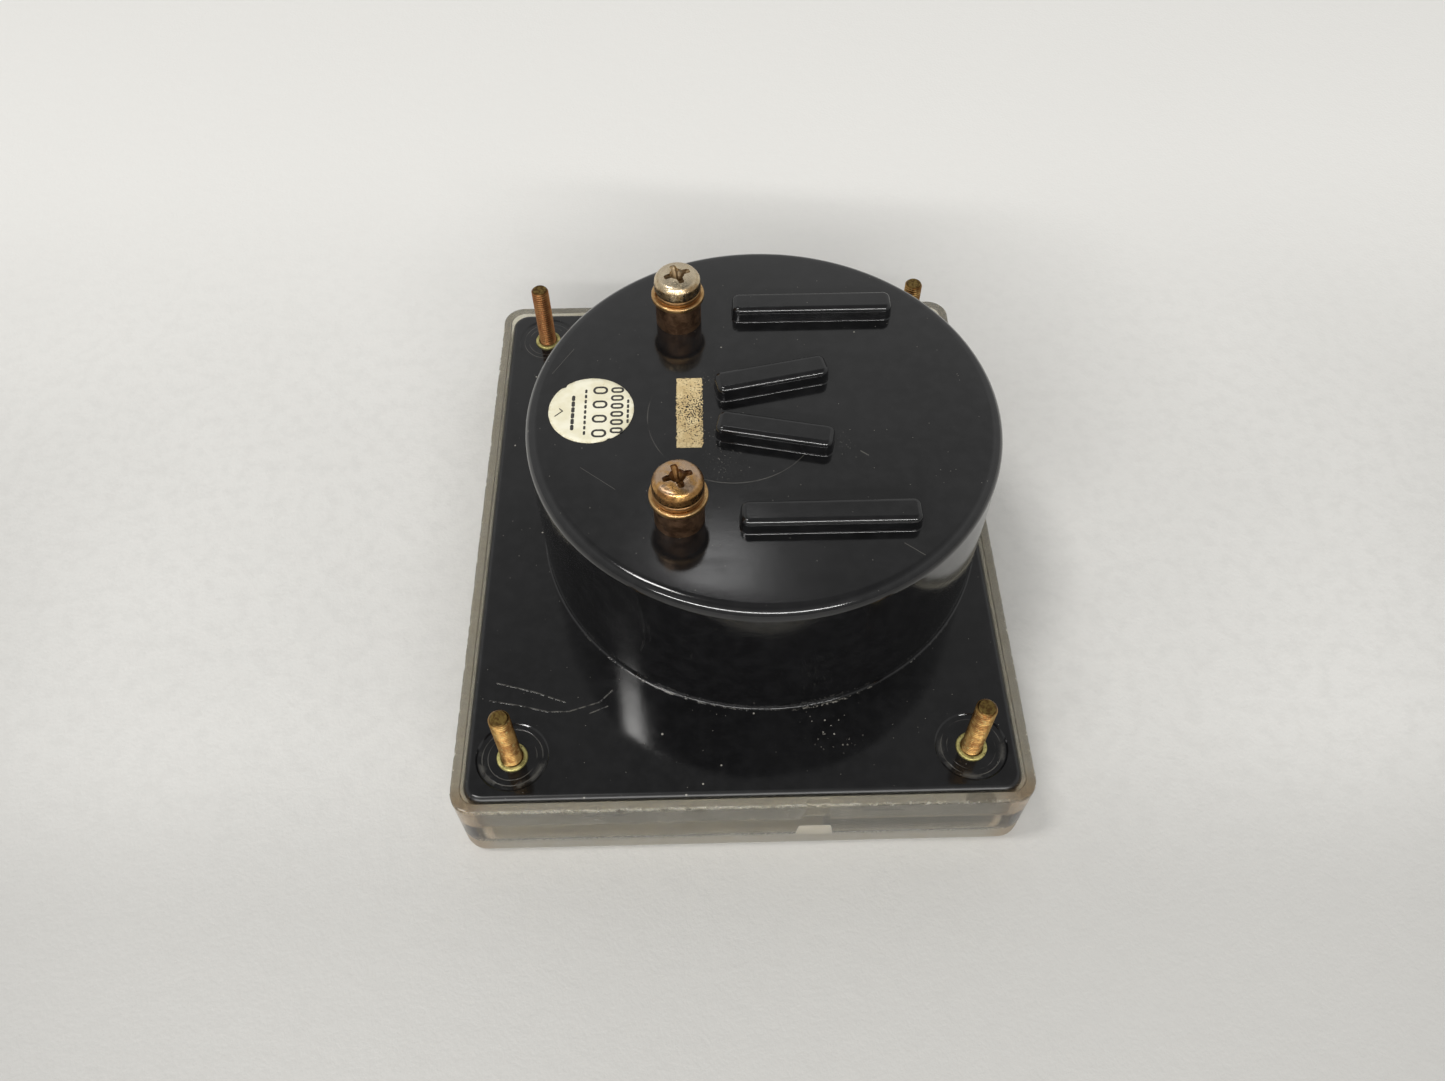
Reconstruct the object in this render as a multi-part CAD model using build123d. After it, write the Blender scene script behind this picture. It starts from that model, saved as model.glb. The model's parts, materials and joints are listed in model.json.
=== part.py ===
from build123d import *
import math
import os

os.makedirs("parts", exist_ok=True)

# Rectangular moving-coil panel meter, 100 x 83 mm class, seen from its back.
# Millimetres. Origin: middle of the stud pattern, in the plane of the rear rim
# that bears on the panel. +Z points out of the back, along the studs and the
# barrel. -X is the top of the dial and +Y is the dial's zero end.

# ---------------------------------------------------------------- dimensions
cover_x, cover_y = 83.0, 100.0      # clear front cover, outside
cover_depth = 14.5                  # rear rim to front face
cover_r = 3.6                       # plan corner radius
rim_wall = 1.5                      # wall round the base's skirt
ledge_z = -6.2                      # step that the skirt stands on
window_t = 2.2                      # thickness of the window
plate_gap = 0.2                     # base to cover, all round
plate_t = 2.5                       # flange of the base
skirt_t = 2.0
barrel_x = 4.2                      # barrel's axis
barrel_r = 34.75
barrel_h = 26.5                     # top face above the rim plane
barrel_wall = 2.5
barrel_fillet = 2.0
stud_x, stud_y = 33.0, 41.5         # half the stud pitches, 66 x 83
stud_r = 1.5                        # M3
stud_tip = 12.4
term_x, term_y = -8.1, 19.0         # terminals, 38 mm apart
post_r, post_h = 3.45, 4.8
screw_r = 2.0                       # M4
head_r, head_h = 3.5, 2.6
bar_h, bar_w = 2.5, 4.1             # raised bars on the barrel's top
pivot_x = 20.0                      # the pointer's axis
zero_x = 31.0                       # the zero adjuster's axis
zero_ecc = 1.0                      # its pin's offset
pointer_len = 46.0
zero_angle = 135.0                  # where the pointer rests, from +X about +Z


def save(name, *solids):
    """One file per node; several solids make a group."""
    made = []
    for s in solids:
        made += list(s.solids())
    shape = made[0] if len(made) == 1 else Compound(children=made)
    shape.label = name
    export_step(shape, f"parts/{name}.step")
    print(name, len(made), round(sum(x.volume for x in made), 2))


def cyl(r, z0, z1, x=0.0, y=0.0):
    return Pos(x, y, (z0 + z1) / 2) * Cylinder(r, z1 - z0)


def tube(ro, ri, z0, z1, x=0.0, y=0.0):
    return cyl(ro, z0, z1, x, y) - cyl(ri, z0 - 1, z1 + 1, x, y)


def block(x0, x1, y0, y1, z0, z1):
    return Pos((x0 + x1) / 2, (y0 + y1) / 2, (z0 + z1) / 2) * Box(x1 - x0, y1 - y0, z1 - z0)


def slab(w, d, r, z0, z1):
    """A rounded rectangle, centred on the Z axis."""
    return Pos(0, 0, z0) * extrude(RectangleRounded(w, d, r), z1 - z0)


# ---------------------------------------------------------------- front cover
window_z = -cover_depth + window_t
cover = slab(cover_x, cover_y, cover_r, -cover_depth, 0)
cover = fillet(cover.faces().sort_by(Axis.Z)[0].edges(), 1.2)
cover = fillet(cover.faces().sort_by(Axis.Z)[-1].edges(), 0.35)
cav_x, cav_y = cover_x - 2 * rim_wall, cover_y - 2 * rim_wall
cover -= slab(cav_x, cav_y, 2.4, ledge_z, 1)
cover -= slab(cav_x - 3.4, cav_y - 3.4, 2.0, window_z, ledge_z + 1)
# recesses for the four snap catches
for sx in (-1, 1):
    for sy in (-1, 1):
        cover -= block(sx * 20 - 3.2, sx * 20 + 3.2, sy * 48.3, sy * 49.2, -4.6, -3.2) if sy > 0 else block(
            sx * 20 - 3.2, sx * 20 + 3.2, -49.2, -48.3, -4.6, -3.2)
# counterbored hole for the zero adjuster
cover -= cyl(2.05, -cover_depth - 1, window_z + 1, zero_x)
cover -= cyl(3.55, -cover_depth - 1, -cover_depth + 1.2, zero_x)


# the key that lines the base up, in the notch of the base's near skirt
def key(grow, z_top, y0, y1):
    """Trapezoid that narrows upwards, across the wall along Y."""
    a, b = 2.3 + grow, 1.5 + grow
    pts = [(10.3 - a, ledge_z), (10.3 + a, ledge_z), (10.6 + b, z_top + grow), (10.6 - b, z_top + grow)]
    face = make_face(Polyline([(p[0], y0, p[1]) for p in pts], close=True))
    return extrude(face, y1 - y0, dir=(0, 1, 0))


cover += key(-0.1, -1.5, -48.9, -46.5)
save("front_cover", cover)

# ---------------------------------------------------------------- rear base
# One black moulding in life; held as a flange and a barrel that meet in a spigot joint.
spigot_r = barrel_r - 0.5
plate_x, plate_y = cav_x - 2 * plate_gap, cav_y - 2 * plate_gap
flange = slab(plate_x, plate_y, 3.0, ledge_z, 0)
flange = fillet(flange.faces().sort_by(Axis.Z)[-1].edges(), 1.0)
flange -= slab(plate_x - 2 * skirt_t, plate_y - 2 * skirt_t, 1.6, ledge_z - 1, -plate_t)
flange -= cyl(spigot_r, ledge_z - 1, 1, barrel_x)
# bosses that carry the dial and the studs
for s in (-1, 1):
    flange += cyl(3.0, -5.8, -1.0, 0, s * 40)
for sx in (-1, 1):
    for sy in (-1, 1):
        flange += cyl(4.0, -5.8, -1.0, sx * stud_x, sy * stud_y)
for s in (-1, 1):
    flange -= cyl(0.9, ledge_z - 1, -2.0, 0, s * 40)
for sx in (-1, 1):
    for sy in (-1, 1):
        flange -= cyl(5.1, -0.22, 1, sx * stud_x, sy * stud_y)
        flange -= cyl(2.25, -4.5, 1, sx * stud_x, sy * stud_y)
# snap catches on the two long skirts' outside
for sx in (-1, 1):
    flange += block(sx * 20 - 3, sx * 20 + 3, 48.0, 48.9, -4.4, -3.4)
    flange += block(sx * 20 - 3, sx * 20 + 3, -48.9, -48.0, -4.4, -3.4)
flange -= key(0.0, -1.5, -49.5, -46.0)
save("base_flange", flange)

barrel = cyl(barrel_r, 0, barrel_h, barrel_x)
barrel = fillet(barrel.faces().sort_by(Axis.Z)[-1].edges(), barrel_fillet)
barrel += cyl(spigot_r, -plate_t, 1, barrel_x)
barrel -= cyl(barrel_r - barrel_wall, ledge_z - 1, barrel_h - barrel_wall, barrel_x)


def bar(cx, cy, length, turn):
    b = Pos(0, 0, barrel_h - 0.5) * extrude(RectangleRounded(length, bar_w, 1.2), bar_h + 0.5)
    b = fillet(b.faces().sort_by(Axis.Z)[-1].edges(), 0.6)
    return Pos(cx, cy, 0) * Rot(0, 0, turn) * b


for b in (bar(12.4, 20.0, 24.6, 0), bar(12.4, -20.0, 24.6, 0), bar(5.55, 5.3, 16.9, 12), bar(5.55, -5.3, 16.9, -12)):
    barrel += b
# pillars that carry the movement
for s in (-1, 1):
    barrel += cyl(3.5, 2.0, barrel_h - 1.0, pivot_x - 2, s * 22)
for s in (-1, 1):
    barrel -= cyl(1.25, 1.0, 13.0, pivot_x - 2, s * 22)
    barrel -= cyl(3.0, barrel_h - 4, barrel_h + 1, term_x, s * term_y)
save("base_barrel", barrel)

# ---------------------------------------------------------------- studs
studs, collars = [], []
for sx in (-1, 1):
    for sy in (-1, 1):
        x, y = sx * stud_x, sy * stud_y
        s = cyl(stud_r, -0.01, stud_tip, x, y)
        s = chamfer(s.faces().sort_by(Axis.Z)[-1].edges(), 0.4)
        s += cyl(1.8, -4.5, 0.0, x, y)
        studs.append(s)
        collars.append(tube(2.25, 1.8, -4.5, 0.05, x, y))
save("mounting_studs", *studs)
save("stud_collars", *collars)

# ---------------------------------------------------------------- terminals
top = barrel_h + post_h
flat_t, spring_t = 0.8, 1.0
head_z = top + flat_t + spring_t
nuts, tags = [], []
for tag, s in (("a", 1), ("b", -1)):
    x, y = term_x, s * term_y
    post = cyl(post_r, barrel_h, top, x, y)
    post = chamfer(post.faces().sort_by(Axis.Z)[-1].edges(), 0.25)
    post += cyl(3.0, 20.2, barrel_h, x, y)
    post -= cyl(screw_r + 0.05, 21.8, top + 1, x, y)
    save(f"terminal_post_{tag}", post)
    save(f"flat_washer_{tag}", tube(4.0, 2.15, top, top + flat_t, x, y))
    ring = tube(3.5, 2.1, top + flat_t, head_z, x, y)
    turn = 205 if tag == "a" else 20
    ring -= Pos(x, y, 0) * Rot(0, 0, turn) * Pos(2.8, 0, (top + flat_t + head_z) / 2) * Rot(28, 0, 0) * Box(3.4, 0.8, 3)
    save(f"spring_washer_{tag}", ring)
    head = cyl(head_r, head_z, head_z + head_h, x, y)
    head = fillet(head.faces().sort_by(Axis.Z)[-1].edges(), 1.0)
    screw = head + cyl(screw_r, 23.4, head_z, x, y)
    screw = chamfer(screw.faces().sort_by(Axis.Z)[0].edges(), 0.35)
    turn = 35 if tag == "a" else 20
    for q in (0, 90):
        screw -= Pos(x, y, head_z + head_h - 0.75) * Rot(0, 0, turn + q) * Box(4.4, 1.0, 1.7)
    save(f"terminal_screw_{tag}", screw)
    nut = Pos(x, y, 21.1) * extrude(RegularPolygon(5.2, 6), 2.4) - cyl(3.0, 20, 25, x, y)
    nuts.append(nut)
    t = tube(4.6, 3.0, 23.5, 24.0, x, y)
    t += block(x + 4.0, x + 6.0, y - 1.5, y + 1.5, 23.5, 24.0)
    t += block(x + 5.5, x + 6.0, y - 1.5, y + 1.5, 20.9, 23.5)
    tags.append(t)
save("terminal_nuts", *nuts)
save("solder_tags", *tags)

# ---------------------------------------------------------------- labels
save("inspection_sticker", cyl(6.25, barrel_h, barrel_h + 0.12, -20.9, 0.6))
save("marking_patch", block(-8.7, -4.5, -6.9, 6.6, barrel_h, barrel_h + 0.08))

# ---------------------------------------------------------------- dial
dial_z0, dial_z1 = -6.6, -5.8
dial = slab(73.0, 90.0, 2.0, dial_z0, dial_z1)
dial -= block(11.5, 40.0, -13.0, 13.0, dial_z0 - 1, dial_z1 + 1)
for s in (-1, 1):
    dial -= cyl(0.95, dial_z0 - 1, dial_z1 + 1, 0, s * 40)
save("dial_plate", dial)
dial_screws = []
for s in (-1, 1):
    h = cyl(1.9, dial_z0 - 0.9, dial_z0, 0, s * 40)
    h = fillet(h.faces().sort_by(Axis.Z)[0].edges(), 0.4)
    h += cyl(0.9, dial_z0, -2.2, 0, s * 40)
    h -= block(-2.5, 2.5, s * 40 - 0.25, s * 40 + 0.25, dial_z0 - 1.5, dial_z0 - 0.5)
    dial_screws.append(h)
save("dial_screws", *dial_screws)
stops = []
for a in (zero_angle - 8.3, zero_angle + 90 + 8.3):
    x, y = pivot_x + 30 * math.cos(math.radians(a)), 30 * math.sin(math.radians(a))
    p = cyl(0.5, -9.2, dial_z0, x, y)
    stops.append(fillet(p.faces().sort_by(Axis.Z)[0].edges(), 0.2))
save("pointer_stops", *stops)
mask = block(12.0, 38.1, -46.6, 46.6, window_z, window_z + 0.5)
mask = fillet(mask.edges().filter_by(Axis.Z).group_by(Axis.X)[-1], 1.9)
mask -= cyl(2.7, window_z - 1, window_z + 2, zero_x)
save("face_mask", mask)

# ---------------------------------------------------------------- movement, fixed parts
frame = cyl(14.0, 0.0, 2.0, pivot_x)
frame += block(13.5, 22.5, -26.0, 26.0, 0.0, 2.0)
frame -= cyl(9.3, -1, 3, pivot_x)
for s in (-1, 1):
    frame -= cyl(1.25, -1, 3, pivot_x - 2, s * 22)
save("movement_frame", frame)
ms = []
for s in (-1, 1):
    h = cyl(2.5, -1.8, 0.0, pivot_x - 2, s * 22)
    h = fillet(h.faces().sort_by(Axis.Z)[0].edges(), 0.6)
    h += cyl(1.25, 0.0, 12.0, pivot_x - 2, s * 22)
    h -= block(pivot_x - 5, pivot_x + 1, s * 22 - 0.35, s * 22 + 0.35, -2.5, -1.0)
    ms.append(h)
save("movement_screws", *ms)
save("return_ring", tube(13.0, 9.2, 2.0, 14.0, pivot_x))
save("magnet_core", cyl(6.2, 2.0, 14.0, pivot_x))
sp = []
for s in (0, 180):
    k = tube(9.2, 6.2, 5.0, 11.0) & block(0, 12, -1.8, 1.8, 4, 12)
    sp.append(Pos(pivot_x, 0, 0) * Rot(0, 0, s) * k)
save("core_spacers", *sp)
bridge = Pos(pivot_x, 0, -11.0) * extrude(RectangleRounded(5.0, 26.0, 2.2), 0.8)
bridge -= cyl(1.25, -12, -9, pivot_x)
rear_bridge = Pos(pivot_x, 0, 18.2) * extrude(RectangleRounded(5.0, 26.0, 2.2), 1.0)
rear_bridge -= cyl(1.25, 17, 21, pivot_x)
pillars, bscrews = [], []
for s in (-1, 1):
    bridge -= cyl(0.8, -12, -9, pivot_x, s * 11)
    rear_bridge -= cyl(0.8, 17, 21, pivot_x, s * 11)
    pillars.append(cyl(1.25, -10.2, 0.0, pivot_x, s * 11) - cyl(0.8, -11, -7.2, pivot_x, s * 11))
    pillars.append(cyl(1.25, 14.0, 18.2, pivot_x, s * 11) - cyl(0.8, 15.2, 19, pivot_x, s * 11))
    bscrews.append(cyl(1.6, -11.6, -11.0, pivot_x, s * 11) + cyl(0.8, -11.0, -7.6, pivot_x, s * 11)
                   - block(pivot_x - 2, pivot_x + 2, s * 11 - 0.2, s * 11 + 0.2, -12, -11.3))
    bscrews.append(cyl(1.6, 19.2, 19.9, pivot_x, s * 11) + cyl(0.8, 15.6, 19.2, pivot_x, s * 11)
                   - block(pivot_x - 2, pivot_x + 2, s * 11 - 0.2, s * 11 + 0.2, 19.55, 21))
save("front_bridge", bridge)
save("rear_bridge", rear_bridge)
save("bridge_pillars", *pillars)
save("bridge_screws", *bscrews)
jf = cyl(1.25, -11.6, -9.9, pivot_x) - cyl(0.45, -10.6, -9, pivot_x) - block(pivot_x - 2, pivot_x + 2, -0.2, 0.2, -12, -11.4)
save("jewel_screw_front", jf)
jr = cyl(1.25, 18.0, 20.0, pivot_x) - cyl(0.45, 17, 18.7, pivot_x) - block(pivot_x - 2, pivot_x + 2, -0.2, 0.2, 19.7, 21)
save("jewel_screw_rear", jr)


def spiral(r0, d, n, w, z0, z1):
    """Flat spiral strip of half rings about two centres; starts at +X and ends at +X."""
    flat = None
    for i in range(n):
        r = r0 + i * d
        c = 0 if i % 2 == 0 else d
        ring = Pos(c, 0) * (Circle(r + w / 2) - Circle(r - w / 2))
        half = Pos(0, 10 if i % 2 == 0 else -10) * Rectangle(40, 20)
        piece = ring & half
        flat = piece if flat is None else flat + piece
    return Pos(0, 0, z0) * extrude(flat, z1 - z0)


save("hairspring_front", Pos(pivot_x, 0, 0) * spiral(1.35, 0.5, 8, 0.14, -9.8, -9.3))
save("hairspring_rear", Pos(pivot_x, 0, 0) * Rot(0, 0, 90) * spiral(1.35, 0.5, 8, 0.14, 17.0, 17.5))
# the rear spring's outer end is soldered to a stub under the rear bridge
save("spring_anchor", block(pivot_x - 0.8, pivot_x + 0.8, 5.42, 5.95, 16.9, 18.2))

# ---------------------------------------------------------------- moving coil and pointer
turn = Pos(pivot_x, 0, 0) * Rot(0, 0, zero_angle)


def loop(yo, yi, zo0, zo1, zi0, zi1, w):
    return block(-w, w, -yo, yo, zo0, zo1) - block(-w - 1, w + 1, -yi, yi, zi0, zi1)


save("coil_former", turn * loop(7.2, 6.8, 0.9, 15.1, 1.3, 14.7, 1.9))
winding = loop(8.6, 7.2, -0.5, 16.5, 0.9, 15.1, 1.5)
winding = fillet(winding.edges().filter_by(Axis.X).filter_by(lambda e: abs(e.center().Y) > 8), 1.0)
save("coil_winding", turn * winding)
shaft_f = cyl(0.6, -9.6, -0.5) + cyl(0.36, -10.4, -9.6)
shaft_r = cyl(0.6, 16.5, 17.7) + cyl(0.36, 17.7, 18.5)
save("pivot_shafts", turn * shaft_f, turn * shaft_r)
hub = tube(1.8, 0.6, -9.1, -7.3) + tube(1.1, 0.6, -9.75, -9.1)
arm_z = -8.15
for a, n in ((180, 8.0), (90, 6.6), (-90, 6.6)):
    hub += Rot(0, 0, a) * (Pos((1.2 + n) / 2, 0, arm_z) * Rot(0, 90, 0) * Cylinder(0.3, n - 1.2))
save("pointer_hub", turn * hub)
weights = []
for a, n in ((180, 5.6), (90, 4.6), (-90, 4.6)):
    w = Rot(0, 0, a) * (Pos(n, 0, arm_z) * Rot(0, 90, 0) * (Cylinder(0.9, 1.8) - Cylinder(0.3, 3)))
    weights.append(turn * w)
save("counterweights", *weights)
blade = make_face(Polyline([(1.0, -0.9), (12, -0.75), (34, -0.55), (40, -0.35), (pointer_len, -0.06),
                            (pointer_len, 0.06), (40, 0.35), (34, 0.55), (12, 0.75), (1.0, 0.9)], close=True))
ptr = Pos(0, 0, -8.3) * extrude(blade, 0.35) - cyl(1.8, -10, -7)
save("pointer", turn * ptr)

# ---------------------------------------------------------------- zero adjuster
lever = tube(2.9, 1.33, -11.35, -11.0)
lever += block(2.4, 13.5, -1.7, 1.7, -11.35, -11.0)
lever -= cyl(1.33, -12, -10)
lever -= block(10.2, 14, -0.56, 0.56, -12, -10)
lever += block(5.42, 5.95, -0.8, 0.8, -11.0, -9.25)
save("zero_lever", Pos(pivot_x, 0, 0) * lever)
zs = cyl(3.5, -cover_depth + 0.15, -cover_depth + 1.2) + cyl(2.0, -cover_depth + 1.2, -11.7)
zs += cyl(0.5, -11.7, -10.7, zero_ecc)
zs -= block(-4, 4, -0.45, 0.45, -cover_depth - 1, -cover_depth + 0.85)
save("zero_screw", Pos(zero_x, 0, 0) * zs)

# ---------------------------------------------------------------- wiring
def wire(pts, radii, r):
    path = FilletPolyline(*pts, radius=radii)
    d = path % 0
    return sweep(Plane(origin=path @ 0, z_dir=d) * Circle(r), path=path)


tab_x = term_x + 6.0
save("lead_wire", wire([(tab_x, term_y, 22.0), (3.0, term_y, 22.0), (3.0, 15.0, 9.0), (3.0, 12.5, -3.0),
                        (11.0, 11.0, -3.0), (pivot_x - 1.25, 11.0, -3.0)], [2.0, 2.0, 2.0, 2.0], 0.4))
res = Pos(4.5, -term_y, 22.0) * Rot(0, 90, 0) * Cylinder(1.25, 6.5)
res = fillet(res.edges(), 0.3)
save("series_resistor", res)
l1 = Pos((tab_x + 1.25) / 2, -term_y, 22.0) * Rot(0, 90, 0) * Cylinder(0.3, 1.25 - tab_x)
l2 = wire([(7.75, -term_y, 22.0), (11.5, -term_y, 22.0), (17.5, -16.5, 18.7), (pivot_x, -13.3, 18.7)], [1.5, 1.5], 0.3)
save("resistor_leads", l1, l2)
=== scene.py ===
import json
import math

import bmesh
import bpy
import numpy as np
from mathutils import Matrix, Vector, noise


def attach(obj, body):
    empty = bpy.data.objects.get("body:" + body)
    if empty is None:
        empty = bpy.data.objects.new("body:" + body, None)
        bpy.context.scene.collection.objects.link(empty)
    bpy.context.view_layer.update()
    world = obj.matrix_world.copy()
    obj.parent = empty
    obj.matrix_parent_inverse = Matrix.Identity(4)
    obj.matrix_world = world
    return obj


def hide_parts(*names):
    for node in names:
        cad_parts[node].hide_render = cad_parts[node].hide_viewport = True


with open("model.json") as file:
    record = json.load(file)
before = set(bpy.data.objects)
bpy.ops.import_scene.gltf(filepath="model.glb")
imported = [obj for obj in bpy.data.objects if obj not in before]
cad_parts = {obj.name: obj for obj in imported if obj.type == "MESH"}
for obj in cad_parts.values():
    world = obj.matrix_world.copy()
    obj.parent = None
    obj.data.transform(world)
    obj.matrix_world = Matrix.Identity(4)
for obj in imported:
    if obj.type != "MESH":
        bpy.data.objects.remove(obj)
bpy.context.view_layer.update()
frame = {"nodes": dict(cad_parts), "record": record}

MM = 0.001
TAU = 2 * math.pi
BARREL_X, BARREL_R, BARREL_H = 4.2, 34.75, 26.5
STUDS = [(33, 41.5), (33, -41.5), (-33, 41.5), (-33, -41.5)]
TERM_X, TERM_Y = -8.1, 19.0


def srgb(r, g, b):
    """A display colour, 0 to 255, as linear RGBA."""
    return tuple((c / 255 / 12.92) if c / 255 <= 0.04045 else ((c / 255 + 0.055) / 1.055) ** 2.4 for c in (r, g, b)) + (1.0,)


# =============================================================== node helper
class Mat:
    """A procedural material. Lengths in its nodes are millimetres of the row frame at rest."""

    def __init__(self, name):
        self.m = bpy.data.materials.new(name)
        self.m.use_nodes = True
        self.t = self.m.node_tree
        self.t.nodes.clear()
        self.out = self.t.nodes.new("ShaderNodeOutputMaterial")
        self.b = self.t.nodes.new("ShaderNodeBsdfPrincipled")
        self.t.links.new(self.b.outputs["BSDF"], self.out.inputs["Surface"])
        tc = self.t.nodes.new("ShaderNodeTexCoord")
        v = self.t.nodes.new("ShaderNodeVectorMath")
        v.operation = "SCALE"
        self.t.links.new(tc.outputs["Object"], v.inputs[0])
        v.inputs["Scale"].default_value = 1000
        self.p = v.outputs[0]
        s = self.t.nodes.new("ShaderNodeSeparateXYZ")
        self.t.links.new(self.p, s.inputs[0])
        self.x, self.y, self.z = s.outputs

    def put(self, sock, val):
        if isinstance(val, bpy.types.NodeSocket):
            self.t.links.new(val, sock)
        else:
            sock.default_value = val

    def set(self, **kw):
        for k, v in kw.items():
            self.put(self.b.inputs[k.replace("_", " ")], v)
        return self

    def math(self, op, a, b=0.0, c=0.0, clamp=False):
        n = self.t.nodes.new("ShaderNodeMath")
        n.operation, n.use_clamp = op, clamp
        for s, v in zip(n.inputs, (a, b, c)):
            self.put(s, v)
        return n.outputs[0]

    def mix(self, f, a, b, blend="MIX"):
        n = self.t.nodes.new("ShaderNodeMix")
        n.data_type, n.blend_type = "RGBA", blend
        self.put(n.inputs[0], f)
        self.put(n.inputs[6], a)
        self.put(n.inputs[7], b)
        return n.outputs[2]

    def mixf(self, f, a, b):
        n = self.t.nodes.new("ShaderNodeMix")
        n.data_type = "FLOAT"
        self.put(n.inputs[0], f)
        self.put(n.inputs[2], a)
        self.put(n.inputs[3], b)
        return n.outputs[0]

    def vec(self, x, y, z):
        n = self.t.nodes.new("ShaderNodeCombineXYZ")
        for s, v in zip(n.inputs, (x, y, z)):
            self.put(s, v)
        return n.outputs[0]

    def noise(self, scale, detail=2.0, rough=0.5, distort=0.0, vec=None):
        n = self.t.nodes.new("ShaderNodeTexNoise")
        self.put(n.inputs["Vector"], self.p if vec is None else vec)
        for k, v in (("Scale", scale), ("Detail", detail), ("Roughness", rough), ("Distortion", distort)):
            n.inputs[k].default_value = v
        return n.outputs[0]

    def voro(self, scale, feature="F1", vec=None, random=1.0):
        n = self.t.nodes.new("ShaderNodeTexVoronoi")
        n.feature = feature
        self.put(n.inputs["Vector"], self.p if vec is None else vec)
        n.inputs["Scale"].default_value = scale
        n.inputs["Randomness"].default_value = random
        return n.outputs["Distance"], (n.outputs["Color"] if feature == "F1" else None)

    def ramp(self, f, lo, hi, smooth=True):
        n = self.t.nodes.new("ShaderNodeMapRange")
        n.clamp = True
        n.interpolation_type = "SMOOTHSTEP" if smooth and lo < hi else "LINEAR"
        self.put(n.inputs[0], f)
        n.inputs[1].default_value, n.inputs[2].default_value = lo, hi
        n.inputs[3].default_value, n.inputs[4].default_value = 0.0, 1.0
        return n.outputs[0]

    def inv(self, f):
        return self.math("SUBTRACT", 1.0, f)

    def mul(self, *fs):
        out = fs[0]
        for f in fs[1:]:
            out = self.math("MULTIPLY", out, f)
        return out

    def most(self, *fs):
        out = fs[0]
        for f in fs[1:]:
            out = self.math("MAXIMUM", out, f)
        return out

    def radius(self, cx, cy):
        dx, dy = self.math("SUBTRACT", self.x, cx), self.math("SUBTRACT", self.y, cy)
        return self.math("SQRT", self.math("ADD", self.math("MULTIPLY", dx, dx), self.math("MULTIPLY", dy, dy)))

    def band(self, f, at, half):
        """1 where f is within half of at, with soft ends."""
        return self.inv(self.ramp(self.math("ABSOLUTE", self.math("SUBTRACT", f, at)), half * 0.4, half))

    def line(self, a, b, half):
        """1 along the segment from a to b in the XY plane."""
        ax, ay = a
        bx, by = b
        l2 = (bx - ax) ** 2 + (by - ay) ** 2
        px, py = self.math("SUBTRACT", self.x, ax), self.math("SUBTRACT", self.y, ay)
        t = self.math("DIVIDE", self.math("ADD", self.math("MULTIPLY", px, bx - ax), self.math("MULTIPLY", py, by - ay)), l2, clamp=True)
        qx = self.math("SUBTRACT", px, self.math("MULTIPLY", t, bx - ax))
        qy = self.math("SUBTRACT", py, self.math("MULTIPLY", t, by - ay))
        d = self.math("SQRT", self.math("ADD", self.math("MULTIPLY", qx, qx), self.math("MULTIPLY", qy, qy)))
        return self.inv(self.ramp(d, half * 0.4, half))

    def bump(self, height, mm, normal=None, strength=1.0):
        """height 0 to 1 stands mm proud."""
        n = self.t.nodes.new("ShaderNodeBump")
        n.inputs["Strength"].default_value = strength
        n.inputs["Distance"].default_value = mm * MM
        self.put(n.inputs["Height"], height)
        if normal is not None:
            self.put(n.inputs["Normal"], normal)
        return n.outputs[0]

    def upward(self):
        """How far the surface faces up, from its own normal."""
        g = self.t.nodes.new("ShaderNodeNewGeometry")
        s = self.t.nodes.new("ShaderNodeSeparateXYZ")
        self.t.links.new(g.outputs["Normal"], s.inputs[0])
        return s.outputs[2]


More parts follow.
